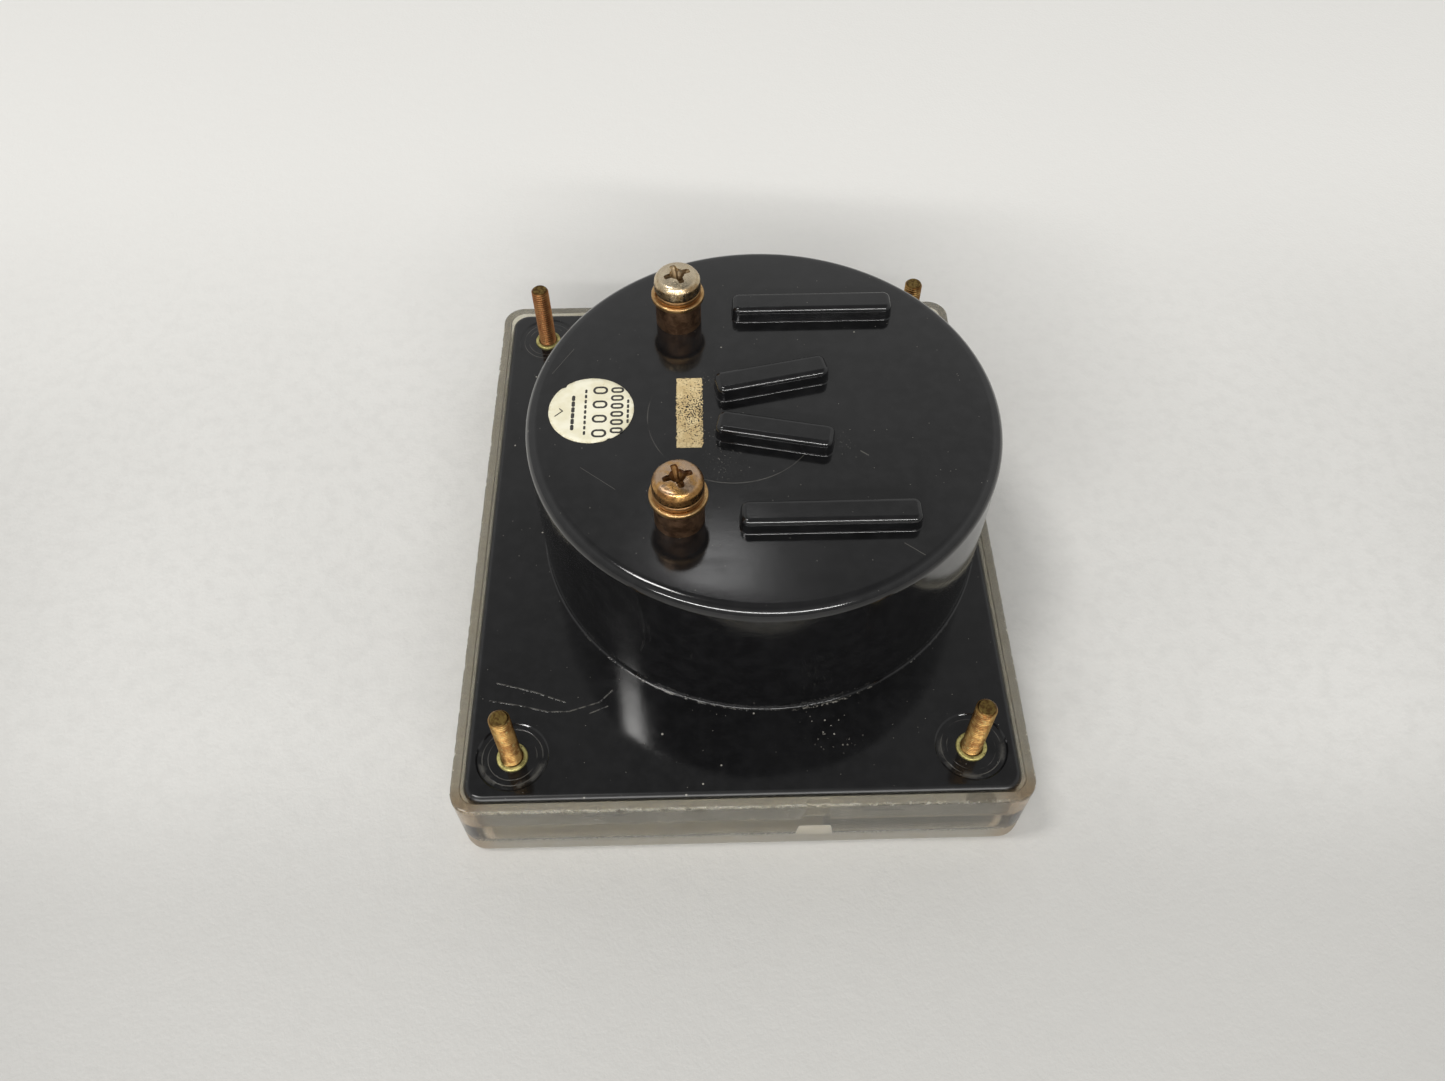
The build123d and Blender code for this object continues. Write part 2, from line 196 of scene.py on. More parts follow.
# =============================================================== materials
def mat_black(name="black_base"):
    m = Mat(name)
    r = m.radius(BARREL_X, 0)
    top = m.ramp(m.z, 26.3, 26.45)
    plate = m.inv(m.ramp(m.z, 0.02, 0.3))
    big, mid, fine = m.noise(0.05, 3, 0.55), m.noise(0.45, 4, 0.6), m.noise(5.0, 3, 0.6)
    col = m.mix(m.ramp(mid, 0.35, 0.7), srgb(16, 16, 17), srgb(24, 24, 25))
    # painted sheen: lighter patches on up-facing faces stand in for the reflection of the bright surroundings
    painted_sheen = m.mul(m.ramp(big, 0.38, 0.7), m.ramp(m.upward(), 0.7, 0.98))
    col = m.mix(m.mul(painted_sheen, 0.5), col, srgb(28, 28, 29))
    # greasy wiping marks, long and faint
    wipe = m.noise(0.35, 3, 0.6, 0.6, m.vec(m.math("MULTIPLY", m.x, 0.35), m.y, m.z))
    # dust: small pale grains, sparse
    d1, c1 = m.voro(0.9)
    grain = m.mul(m.inv(m.ramp(d1, 0.035, 0.075)), m.ramp(m.math("FRACT", m.mul(c1, 7.31)), 0.62, 0.66), m.ramp(m.upward(), 0.5, 0.9))
    d2, c2 = m.voro(0.27)
    fleck = m.mul(m.inv(m.ramp(d2, 0.035, 0.05)), m.ramp(m.math("FRACT", m.mul(c2, 5.77)), 0.55, 0.6), m.ramp(m.upward(), 0.5, 0.9))
    # scratches by the near left stud, on the flange
    sc = []
    for pts in (((-37, -32.5), (-32.5, -33.4), (-28.3, -34.5), (-25.2, -34.5), (-20.8, -33.1), (-19, -31.2)),
                ((-36.2, -29.6), (-30.5, -31.2), (-25.9, -33.0)), ((-22.4, -35), (-19.6, -33.8))):
        for a, b in zip(pts, pts[1:]):
            sc.append(m.line(a, b, 0.13))
    scratch = m.mul(m.most(*sc), plate, m.ramp(m.noise(0.9, 3, 0.7), 0.36, 0.60))
    # broken chips in the flange's skin between the barrel and the near right stud; the pits carry painted shade, the
    # crumbs are pale
    pitzone = m.mul(m.inv(m.ramp(m.radius(13.5, -37.4), 1.0, 5.5)), plate, m.ramp(r, 35.4, 36.2))
    d3, c3 = m.voro(1.7)
    pit = m.mul(m.inv(m.ramp(d3, 0.10, 0.26)), m.ramp(m.math("FRACT", m.mul(c3, 3.3)), 0.84, 0.87), pitzone, m.ramp(m.noise(0.5, 2), 0.50, 0.58))
    crumb = m.mul(m.inv(m.ramp(d3, 0.16, 0.30)), m.ramp(m.math("FRACT", m.mul(c3, 4.7)), 0.66, 0.70), pitzone, m.ramp(m.noise(2.1, 3, 0.7), 0.44, 0.52))
    # pale line round the near side of the barrel's foot: a painted highlight, broken by scuffs; footr adds a scuffed
    # patch of it by the chips
    foot = m.mul(m.band(r, 35.08, 0.14), m.inv(m.ramp(m.z, 0.2, 0.4)), m.ramp(m.noise(0.7, 4, 0.7), 0.52, 0.64))
    foot = m.mul(foot, m.inv(m.ramp(m.y, -32, -18)))
    footr = m.mul(m.band(r, 35.25, 0.22), plate, m.inv(m.ramp(m.radius(12.5, -34.5), 2.0, 6.0)), m.ramp(m.noise(1.6, 4, 0.7), 0.52, 0.60))
    # a faint circle scribed on the top, and rub marks at the bars' ends
    ring = m.mul(m.band(m.radius(-0.3, -0.9), 12.4, 0.10), top, m.ramp(m.noise(0.16, 2), 0.36, 0.6), m.inv(m.ramp(m.z, 26.55, 26.65)), m.most(m.inv(m.ramp(m.y, -8.5, -5.0)), m.inv(m.ramp(m.x, -11.5, -9.0))))
    ends = m.most(m.inv(m.ramp(m.radius(-3.6, 6.6), 0.4, 2.4)), m.inv(m.ramp(m.radius(-4.0, -4.2), 0.4, 2.2)), m.inv(m.ramp(m.radius(-1.6, -9.6), 0.6, 4.2)),
                  m.inv(m.ramp(m.radius(15.6, -6.6), 0.2, 1.8)))
    rub = m.mul(ends, m.ramp(m.noise(2.6, 5, 0.75, 0.4), 0.60, 0.68), m.ramp(m.z, 26.3, 26.45))
    # a few hairline scratches on the top
    hair = m.mul(m.most(m.line((22, -24), (24.5, -26), 0.07), m.line((17.6, -8), (18.6, -8.8), 0.12), m.line((-22, -10), (-17, -14), 0.045),
                        m.line((-27, 8), (-24, 13), 0.045)), top)
    # ring marks left by nuts round each stud
    rs = [m.radius(x, y) for x, y in STUDS]
    near = m.math("MINIMUM", m.math("MINIMUM", rs[0], rs[1]), m.math("MINIMUM", rs[2], rs[3]))
    nut = m.mul(m.most(m.mul(m.band(near, 4.35, 0.10), m.ramp(m.noise(0.3, 2), 0.35, 0.6)), m.mul(m.band(near, 3.5, 0.08), m.ramp(m.noise(0.3, 2), 0.45, 0.65))), plate)
    arc = m.mul(m.ramp(near, 3.7, 4.5), m.inv(m.ramp(near, 4.75, 5.02)), plate, m.inv(m.ramp(m.y, -42.5, -39.5)), m.ramp(m.noise(3.0, 3, 0.7, 0.0, m.vec(near, 0.0, 0.0)), 0.35, 0.62), m.ramp(m.noise(0.45, 3, 0.6), 0.42, 0.62))
    pale = m.most(m.mul(arc, 0.16), m.mul(crumb, 0.9), m.mul(grain, 0.35), m.mul(fleck, 0.7), m.mul(scratch, 0.22), m.mul(foot, 0.30), m.mul(footr, 0.6), m.mul(ring, 0.13), m.mul(rub, 0.55), m.mul(hair, 0.16), m.mul(nut, 0.14))
    col = m.mix(pale, col, srgb(176, 172, 162))
    # painted shade: the chipped pits are darkened almost to black
    col = m.mix(m.mul(pit, 0.8), col, srgb(5, 5, 5))
    rough = m.mixf(m.ramp(big, 0.3, 0.7), 0.07, 0.11)
    rough = m.math("ADD", rough, m.mul(m.ramp(wipe, 0.4, 0.7), 0.03))
    rough = m.math("ADD", rough, m.mul(top, 0.03))
    edge = m.mul(m.most(m.ramp(m.math("ABSOLUTE", m.x), 38.5, 39.2), m.ramp(m.math("ABSOLUTE", m.y), 47.0, 47.7)), m.inv(m.ramp(m.z, 0.02, 0.2)))
    rough = m.mixf(edge, rough, 0.34)
    rough = m.mixf(pale, rough, 0.75)
    rough = m.mixf(m.mul(pit, 0.8), rough, 0.5)
    wave = m.bump(m.noise(0.07, 2, 0.4), 0.05)
    peel = m.bump(m.noise(0.9, 2, 0.5), 0.0022, wave)
    tex = m.bump(fine, 0.0022, peel)
    cuts = m.bump(m.math("SUBTRACT", m.most(m.mul(scratch, 0.5), m.mul(rub, 0.4), m.mul(foot, 0.5)), m.most(pit, m.mul(nut, 0.3))), 0.05, tex)
    m.set(Base_Color=col, Roughness=rough, Normal=cuts)
    m.b.inputs["IOR"].default_value = 1.52
    return m.m


def mat_clear(name="clear_cover"):
    m = Mat(name)
    n, fine = m.noise(0.35, 3, 0.6), m.noise(3.2, 4, 0.65)
    side = m.inv(m.ramp(m.math("ABSOLUTE", m.upward()), 0.4, 0.8))
    edge = m.math("MAXIMUM", m.math("SUBTRACT", m.math("ABSOLUTE", m.x), 41.5), m.math("SUBTRACT", m.math("ABSOLUTE", m.y), 50.0))
    rim = m.mul(m.ramp(m.z, -0.55, -0.22), m.ramp(edge, -0.52, -0.30))
    nearrim = m.mul(m.ramp(m.math("MULTIPLY", m.y, -1.0), 49.0, 49.5), m.inv(m.ramp(m.x, 14, 20)))
    worn = m.mul(rim, m.ramp(m.noise(1.1, 4, 0.7), 0.50, 0.60))
    chip = m.mul(rim, nearrim, m.ramp(m.noise(1.4, 3, 0.65), 0.40, 0.52))
    # painted glow: the lower outer wall is made diffuse beige, standing in for light passing through the acrylic to the
    # floor beneath
    low = m.mul(m.inv(m.ramp(m.z, -11.6, -8.6)), m.ramp(edge, -1.6, -1.25), m.inv(m.ramp(m.math("MULTIPLY", m.upward(), -1.0), 0.75, 0.95)))
    lug = m.mul(m.inv(m.ramp(m.math("ABSOLUTE", m.math("SUBTRACT", m.x, 10.3)), 2.0, 2.4)), m.inv(m.ramp(m.y, -46.2, -45.8)), m.ramp(m.y, -49.2, -48.95), m.ramp(m.z, -6.7, -6.4))
    gate = m.mul(m.ramp(m.z, -0.3, -0.1), m.inv(m.ramp(m.radius(33.2, -50.0), 2.1, 2.3)))
    gatering = m.mul(m.ramp(m.z, -0.3, -0.1), m.band(m.radius(33.2, -50.0), 2.35, 0.16))
    grime = m.mul(m.ramp(m.noise(0.16, 4, 0.65), 0.5, 0.72), side)
    corner = m.mul(m.ramp(m.math("ABSOLUTE", m.x), 35, 40), m.ramp(m.math("ABSOLUTE", m.y), 44, 49))
    hair = m.mul(m.band(m.noise(0.5, 3, 0.6, 1.2), 0.5, 0.006), m.ramp(m.noise(0.09, 2), 0.5, 0.6))
    # painted glow: a beige patch on the near outer wall, below the key's notch, stands in for light seen through the
    # wall there
    key = m.mul(m.inv(m.ramp(m.math("ADD", m.math("ABSOLUTE", m.math("SUBTRACT", m.x, 10.3)), m.math("MULTIPLY", m.z, 0.14)), 1.0, 1.5)), m.ramp(m.z, -11.2, -10.6), m.inv(m.ramp(m.z, -7.6, -7.0)), m.inv(m.ramp(m.y, -49.9, -49.7)))
    # frosting from wear, chips and hairlines, with the painted glow of the lower wall and the key patch mixed in
    frost_and_glow = m.math("ADD", m.most(m.mul(worn, 0.34), m.mul(chip, 0.30), m.mul(hair, 0.2), m.mul(low, 0.36), m.mul(m.ramp(m.z, -0.25, -0.03), 0.20), m.mul(lug, 0.12), m.mul(key, 0.52), m.mul(gatering, 0.2)), m.mul(grime, 0.05), clamp=True)
    col = m.mix(m.ramp(n, 0.3, 0.7), (0.93, 0.90, 0.80, 1), (0.88, 0.83, 0.68, 1))
    # painted glow: amber at the near corners stands in for light passing the long way through the yellowed corners
    col = m.mix(m.mul(corner, m.inv(m.ramp(m.y, -40, -30)), 0.55), col, srgb(214, 160, 84))
    col = m.mix(frost_and_glow, col, m.mix(key, m.mix(low, srgb(204, 198, 182), srgb(170, 154, 134)), srgb(190, 180, 162)))
    col = m.mix(m.mul(gate, 0.45), col, srgb(60, 52, 38))
    rough = m.math("ADD", m.mixf(m.ramp(fine, 0.35, 0.7), 0.045, 0.13), m.mul(side, 0.10))
    rough = m.mixf(frost_and_glow, rough, 0.62)
    bump = m.bump(m.noise(0.7, 3, 0.6), 0.012)
    bump = m.bump(m.most(m.mul(worn, 0.5), m.mul(chip, 0.6)), 0.04, bump)
    m.set(Base_Color=col, Roughness=rough, Normal=bump)
    m.put(m.b.inputs["Transmission Weight"], m.inv(m.mul(frost_and_glow, 0.8)))
    m.b.inputs["IOR"].default_value = 1.49
    v = m.t.nodes.new("ShaderNodeVolumeAbsorption")
    v.inputs["Color"].default_value = (0.86, 0.74, 0.48, 1)
    v.inputs["Density"].default_value = 22.0
    m.t.links.new(v.outputs[0], m.out.inputs["Volume"])
    return m.m


def mat_metal(name, light, dark, spot, rough=(0.25, 0.45), scale=0.6, tarnish=(0.42, 0.66), wear=None, lines=None, spots=(0.62, 0.72), bump=0.02):
    """Plated or bare metal: two tones of tarnish in patches, small spots, rubbed high places and fine marks."""
    m = Mat(name)
    big, mid, fine = m.noise(scale, 4, 0.62, 0.3), m.noise(scale * 3.3, 4, 0.65), m.noise(scale * 14, 3, 0.6)
    t = m.ramp(m.math("ADD", m.mul(big, 0.65), m.mul(mid, 0.35)), *tarnish)
    col = m.mix(t, light, dark)
    col = m.mix(m.mul(m.ramp(mid, *spots), m.ramp(fine, 0.4, 0.6), 0.8), col, spot)
    r = m.mixf(t, *rough)
    r = m.math("ADD", r, m.mul(m.ramp(fine, 0.4, 0.7), 0.08))
    n = m.bump(mid, bump)
    n = m.bump(fine, bump * 0.35, n)
    if lines == "turned":
        g = m.noise(9.0, 2, 0.6, 0.0, m.vec(0.0, 0.0, m.z))
        n = m.bump(g, 0.012, n)
        r = m.math("ADD", r, m.mul(m.ramp(g, 0.45, 0.65), 0.08))
    if lines == "brushed":
        g = m.noise(4.0, 3, 0.6, 0.0, m.vec(m.x, m.math("MULTIPLY", m.y, 0.04), m.z))
        n = m.bump(g, 0.008, n)
    if wear is not None:
        b = m.t.nodes.new("ShaderNodeBevel")
        b.samples = 4
        b.inputs["Radius"].default_value = 0.18 * MM
        g = m.t.nodes.new("ShaderNodeNewGeometry")
        dot = m.t.nodes.new("ShaderNodeVectorMath")
        dot.operation = "DOT_PRODUCT"
        m.t.links.new(b.outputs[0], dot.inputs[0])
        m.t.links.new(g.outputs["Normal"], dot.inputs[1])
        edge = m.mul(m.inv(m.ramp(dot.outputs["Value"], 0.86, 0.995)), m.ramp(mid, 0.3, 0.55))
        col = m.mix(m.mul(edge, 0.7), col, wear)
        r = m.mixf(edge, r, 0.28)
    m.set(Base_Color=col, Roughness=r, Normal=n)
    m.b.inputs["Metallic"].default_value = 1.0
    return m.m


def mat_plain(name, a, b, rough=(0.4, 0.6), scale=0.8, bump=0.02, spec=None, speck=None, metallic=0.0):
    """Paint, plastic, paper or enamel: two close tones, small specks, uneven gloss and a fine surface."""
    m = Mat(name)
    big, mid, fine = m.noise(scale * 0.3, 3, 0.6), m.noise(scale * 1.7, 4, 0.65), m.noise(scale * 9, 3, 0.6)
    col = m.mix(m.ramp(m.math("ADD", m.mul(big, 0.6), m.mul(mid, 0.4)), 0.38, 0.62), a, b)
    if speck:
        d, c = m.voro(scale * 2.2)
        col = m.mix(m.mul(m.inv(m.ramp(d, 0.08, 0.16)), m.ramp(m.math("FRACT", m.mul(c, 6.1)), 0.72, 0.76)), col, speck)
    m.set(Base_Color=col, Roughness=m.mixf(m.ramp(mid, 0.35, 0.65), *rough), Normal=m.bump(fine, bump * 0.4, m.bump(mid, bump)))
    m.b.inputs["Metallic"].default_value = metallic
    if spec is not None:
        m.b.inputs["Specular IOR Level"].default_value = spec
    return m.m


def mat_stud(name="yellow_zinc"):
    """Yellow zinc: brown-gold with iridescent patches, painted shade in the thread roots and rubbed on the crests."""
    m = Mat(name)
    rs = [m.radius(x, y) for x, y in STUDS]
    near = m.math("MINIMUM", m.math("MINIMUM", rs[0], rs[1]), m.math("MINIMUM", rs[2], rs[3]))
    n1, n2, fine = m.noise(0.55, 3, 0.6), m.noise(1.8, 4, 0.65), m.noise(9, 3, 0.6)
    col = m.mix(m.ramp(n1, 0.40, 0.62), srgb(172, 136, 82), srgb(126, 88, 50))
    col = m.mix(m.mul(m.ramp(n2, 0.55, 0.68), 0.6), col, srgb(190, 182, 126))
    redder = m.mul(m.inv(m.ramp(m.x, -20, -10)), m.ramp(m.y, 20, 30))
    col = m.mix(m.mul(redder, 0.6), col, srgb(160, 100, 66))
    # painted shade: the thread roots are darkened
    root = m.inv(m.ramp(near, 1.22, 1.44))
    col = m.mix(m.mul(root, m.ramp(m.z, 0.3, 0.6), 0.92), col, srgb(58, 36, 16))
    crest = m.mul(m.ramp(near, 1.45, 1.5), m.inv(m.ramp(near, 1.52, 1.56)), m.ramp(fine, 0.42, 0.6))
    col = m.mix(m.mul(crest, 0.4), col, srgb(216, 188, 132))
    tip = m.mul(m.ramp(m.z, 12.2, 12.38), 0.7)
    col = m.mix(tip, col, m.mix(m.ramp(n2, 0.4, 0.6), srgb(150, 128, 74), srgb(96, 74, 44)))
    m.set(Base_Color=col, Roughness=m.mixf(m.ramp(n2, 0.35, 0.65), 0.36, 0.50), Normal=m.bump(fine, 0.003, m.bump(n2, 0.005)))
    m.b.inputs["Metallic"].default_value = 1.0
    return m.m


def mat_collar(name="collar_zinc"):
    m = Mat(name)
    n1, n2, fine = m.noise(0.8, 3, 0.6), m.noise(3.0, 4, 0.65), m.noise(11, 3, 0.6)
    col = m.mix(m.ramp(n1, 0.38, 0.62), srgb(206, 196, 128), srgb(160, 150, 92))
    col = m.mix(m.mul(m.ramp(n2, 0.56, 0.66), 0.9), col, srgb(92, 78, 44))
    m.set(Base_Color=col, Roughness=m.mixf(m.ramp(n2, 0.35, 0.65), 0.34, 0.6), Normal=m.bump(fine, 0.012, m.bump(n2, 0.03)))
    m.b.inputs["Metallic"].default_value = 0.75
    return m.m


def mat_screw(name, light, dark, deep, edge, seed):
    """A tarnished terminal screw: patchy plating on the dome, darker in the recess and under the head, and painted
    shade on the head's flank.
    """
    m = Mat(name)
    cy = TERM_Y if seed == 0 else -TERM_Y
    v = m.t.nodes.new("ShaderNodeVectorMath")
    v.operation = "ADD"
    m.t.links.new(m.p, v.inputs[0])
    v.inputs[1].default_value = (seed * 13.7, seed * 5.1, seed * 3.3)
    q = v.outputs[0]
    r = m.radius(TERM_X, cy)
    n1, n2, fine = m.noise(0.42, 3, 0.6, 0.4, q), m.noise(1.9, 4, 0.68, 0.2, q), m.noise(9, 3, 0.6, 0.0, q)
    col = m.mix(m.ramp(m.math("ADD", m.mul(n1, 0.7), m.mul(n2, 0.3)), 0.42, 0.60), light, dark)
    col = m.mix(m.mul(m.ramp(n2, 0.60, 0.70), 0.4), col, deep)
    recess = m.mul(m.inv(m.ramp(m.z, 34.9, 35.45)), m.inv(m.ramp(r, 2.3, 2.5)), m.ramp(m.z, 33.3, 33.5))
    col = m.mix(m.mul(recess, 0.6), col, deep)
    dome = m.mul(m.ramp(m.z, 35.05, 35.5), m.ramp(n1, 0.36, 0.56))
    col = m.mix(m.mul(dome, 0.55), col, edge)
    # painted shade: the head's flank is darkened all round
    flank = m.mul(m.inv(m.ramp(m.z, 34.3, 34.8)), m.ramp(m.z, 33.0, 33.12))
    col = m.mix(m.mul(flank, 0.45), col, m.mix(0.5, dark, deep))
    under = m.mul(m.inv(m.ramp(m.z, 33.25, 33.7)), m.ramp(m.z, 33.0, 33.12))
    col = m.mix(m.mul(under, 0.4), col, deep)
    b = m.t.nodes.new("ShaderNodeBevel")
    b.samples = 4
    b.inputs["Radius"].default_value = 0.2 * MM
    g = m.t.nodes.new("ShaderNodeNewGeometry")
    dot = m.t.nodes.new("ShaderNodeVectorMath")
    dot.operation = "DOT_PRODUCT"
    m.t.links.new(b.outputs[0], dot.inputs[0])
    m.t.links.new(g.outputs["Normal"], dot.inputs[1])
    rub = m.mul(m.inv(m.ramp(dot.outputs["Value"], 0.84, 0.99)), m.ramp(m.z, 34.6, 35.2), m.ramp(n2, 0.3, 0.5))
    col = m.mix(m.mul(rub, 0.75), col, edge)
    rough = m.mixf(m.ramp(n2, 0.35, 0.65), 0.20, 0.38)
    rough = m.mixf(m.most(recess, m.mul(m.ramp(n2, 0.60, 0.68), 0.6)), rough, 0.6)
    n = m.bump(fine, 0.008, m.bump(n2, 0.035))
    m.set(Base_Color=col, Roughness=rough, Normal=n)
    m.b.inputs["Metallic"].default_value = 1.0
    return m.m


def mat_post(name="terminal_brass"):
    """Oxidised brass post: brown, with turning marks and lighter rubbed patches."""
    m = Mat(name)
    n1, n2, fine = m.noise(0.5, 3, 0.6, 0.3), m.noise(2.2, 4, 0.65), m.noise(10, 3, 0.6)
    col = m.mix(m.ramp(n1, 0.40, 0.62), srgb(138, 108, 84), srgb(96, 72, 54))
    col = m.mix(m.mul(m.ramp(n2, 0.60, 0.70), 0.6), col, srgb(78, 58, 44))
    turned = m.noise(7.0, 2, 0.7, 0.0, m.vec(0.0, 0.0, m.z))
    m.set(Base_Color=col, Roughness=m.mixf(m.ramp(n2, 0.35, 0.65), 0.40, 0.56),
          Normal=m.bump(turned, 0.02, m.bump(fine, 0.006, m.bump(n2, 0.015))))
    m.b.inputs["Metallic"].default_value = 1.0
    return m.m


def mat_sticker(name="sticker_paper"):
    m = Mat(name)
    n1, n2, fine = m.noise(0.35, 3, 0.6), m.noise(2.2, 4, 0.65), m.noise(14, 3, 0.6)
    r = m.radius(-20.9, 0.6)
    col = m.mix(m.ramp(n1, 0.4, 0.65), srgb(240, 236, 214), srgb(230, 224, 196))
    stain = m.mul(m.ramp(n2, 0.58, 0.7), m.ramp(n1, 0.5, 0.6))
    col = m.mix(m.mul(stain, 0.45), col, srgb(206, 190, 150))
    col = m.mix(m.mul(m.ramp(r, 5.7, 6.25), m.ramp(n2, 0.42, 0.6), 0.6), col, srgb(196, 184, 148))
    m.set(Base_Color=col, Roughness=m.mixf(m.ramp(n2, 0.35, 0.65), 0.42, 0.6), Normal=m.bump(fine, 0.006, m.bump(m.noise(0.8, 2), 0.02)))
    return m.m


def mat_patch(name="tan_patch"):
    m = Mat(name)
    n1, n2, fine = m.noise(0.5, 3, 0.6), m.noise(2.6, 4, 0.7), m.noise(8, 3, 0.65)
    col = m.mix(m.ramp(n1, 0.38, 0.62), srgb(220, 199, 152), srgb(202, 177, 128))
    col = m.mix(m.mul(m.ramp(n2, 0.50, 0.66), 0.55), col, srgb(156, 136, 98))
    col = m.mix(m.mul(m.ramp(fine, 0.58, 0.68), 0.6), col, srgb(92, 76, 50))
    m.set(Base_Color=col, Roughness=m.mixf(fine, 0.55, 0.8), Normal=m.bump(fine, 0.03, m.bump(n2, 0.03)))
    return m.m


def mat_floor(name="floor_pale"):
    m = Mat(name)
    n1, n2, n3 = m.noise(0.012, 3, 0.5), m.noise(0.35, 4, 0.6), m.noise(1.6, 3, 0.6)
    col = m.mix(m.ramp(n1, 0.3, 0.7), srgb(213, 212, 209), srgb(219, 218, 215))
    col = m.mix(m.mul(m.ramp(n2, 0.4, 0.7), 0.35), col, srgb(203, 202, 199))
    # painted light: the floor grows lighter away from the camera
    col = m.mix(m.mul(m.ramp(m.y, 20, 120), 0.9), col, srgb(233, 232, 229))
    # painted shade: the floor in front of the cover is darker
    col = m.mix(m.mul(m.ramp(m.math("MULTIPLY", m.y, -1.0), 28, 62), 0.75), col, srgb(190, 189, 186))
    # painted shade: the floor darkens towards the outer corners nearest the camera
    col = m.mix(m.mul(m.ramp(m.radius(0.0, 0.0), 95, 190), m.inv(m.ramp(m.y, -20, 60)), 0.7), col, srgb(170, 169, 167))
    m.set(Base_Color=col, Roughness=m.mixf(m.ramp(n3, 0.35, 0.65), 0.5, 0.62), Normal=m.bump(n3, 0.05, m.bump(n2, 0.06)))
    return m.m


M = {
    "black_base": mat_black(),
    "clear_cover": mat_clear(),
    "yellow_zinc": mat_stud(),
    "collar": mat_collar(),
    "tarnished_brass": mat_post(),
    "washer_flat": mat_metal("washer_brass", srgb(202, 166, 116), srgb(166, 128, 82), srgb(118, 86, 54), (0.26, 0.42), 0.5, wear=srgb(240, 216, 164)),
    "bronze_spring": mat_metal("bronze_spring", srgb(170, 132, 90), srgb(128, 94, 60), srgb(92, 66, 44), (0.3, 0.46), 0.7, (0.44, 0.7), wear=srgb(214, 174, 116), spots=(0.68, 0.76)),
    "nickel_terminal": mat_screw("nickel_terminal", srgb(208, 190, 158), srgb(176, 148, 110), srgb(112, 90, 62), srgb(226, 216, 194), 0),
    "copper_terminal": mat_screw("copper_terminal", srgb(190, 146, 90), srgb(148, 106, 62), srgb(88, 68, 46), srgb(210, 190, 170), 1),
    "bright_brass": mat_metal("bright_brass", srgb(222, 186, 112), srgb(196, 156, 86), srgb(140, 104, 58), (0.2, 0.34), 0.4, (0.5, 0.8), wear=srgb(244, 222, 160), lines="brushed"),
    "nickel_screw": mat_metal("nickel_screw", srgb(206, 202, 192), srgb(176, 170, 158), srgb(120, 110, 96), (0.2, 0.36), 0.6, (0.5, 0.8), wear=srgb(236, 234, 228)),
    "tinned": mat_metal("tinned", srgb(204, 204, 200), srgb(170, 170, 168), srgb(120, 118, 112), (0.3, 0.5), 0.8),
    "sticker_paper": mat_sticker(),
    "tan_patch": mat_patch(),
    "sticker_ink": mat_plain("sticker_ink", srgb(44, 42, 40), srgb(62, 60, 56), (0.5, 0.7), 2.0, 0.004),
    "dial_enamel": mat_plain("dial_enamel", srgb(238, 236, 226), srgb(232, 229, 216), (0.42, 0.55), 0.25, 0.004, speck=srgb(206, 198, 176)),
    "dial_ink": mat_plain("dial_ink", srgb(22, 22, 22), srgb(34, 33, 32), (0.45, 0.6), 1.5, 0.003),
    "mask_black": mat_plain("mask_black", srgb(24, 24, 25), srgb(36, 36, 37), (0.45, 0.62), 0.6, 0.02, speck=srgb(96, 94, 90)),
    "die_cast": mat_metal("die_cast", srgb(190, 192, 194), srgb(158, 160, 162), srgb(116, 116, 116), (0.38, 0.55), 0.5, bump=0.05),
    "soft_iron": mat_metal("soft_iron", srgb(142, 142, 144), srgb(108, 106, 106), srgb(88, 66, 50), (0.3, 0.5), 0.5, lines="turned"),
    "magnet_alloy": mat_metal("magnet_alloy", srgb(160, 160, 164), srgb(126, 126, 130), srgb(86, 84, 84), (0.3, 0.46), 0.5, lines="turned", bump=0.03),
    "copper_wire": mat_metal("copper_wire", srgb(206, 122, 74), srgb(170, 90, 50), srgb(112, 58, 32), (0.28, 0.4), 1.2, bump=0.05),
    "pointer_black": mat_plain("pointer_black", srgb(18, 18, 18), srgb(30, 30, 30), (0.4, 0.55), 1.2, 0.006),
    "wire_red": mat_plain("wire_red", srgb(172, 40, 32), srgb(146, 30, 26), (0.38, 0.55), 0.9, 0.015),
    "resistor_body": mat_plain("resistor_body", srgb(192, 162, 122), srgb(176, 144, 104), (0.25, 0.4), 0.9, 0.02, speck=srgb(120, 92, 60)),
    "floor": mat_floor(),
}


# =============================================================== mesh helpers (mm in, metres out)
def rounded(pts, seg=5, closed=False):
    """Points (a, b[, radius]) of a 2-D line with its corners rounded."""
    out, n = [], len(pts)
    for i, (x, y, *rr) in enumerate(pts):
        r = rr[0] if rr else 0
        if r <= 0 or (not closed and i in (0, n - 1)):
            out.append((x, y))
            continue
        p, a, b = np.array((x, y), float), np.array(pts[i - 1][:2], float), np.array(pts[(i + 1) % n][:2], float)
        la, lb = np.linalg.norm(a - p), np.linalg.norm(b - p)
        u, v = (a - p) / la, (b - p) / lb
        ang = math.acos(float(np.clip(u @ v, -1, 1)))
        d = min(r / math.tan(ang / 2), 0.49 * la, 0.49 * lb)
        r2 = d * math.tan(ang / 2)
        c = p + (u + v) / np.linalg.norm(u + v) * (r2 / math.sin(ang / 2))
        s, e = p + u * d - c, p + v * d - c
        a0, a1 = math.atan2(s[1], s[0]), math.atan2(e[1], e[0])
        da = (a1 - a0 + math.pi) % TAU - math.pi
        out += [(c[0] + r2 * math.cos(a0 + da * k / seg), c[1] + r2 * math.sin(a0 + da * k / seg)) for k in range(seg + 1)]
    return out


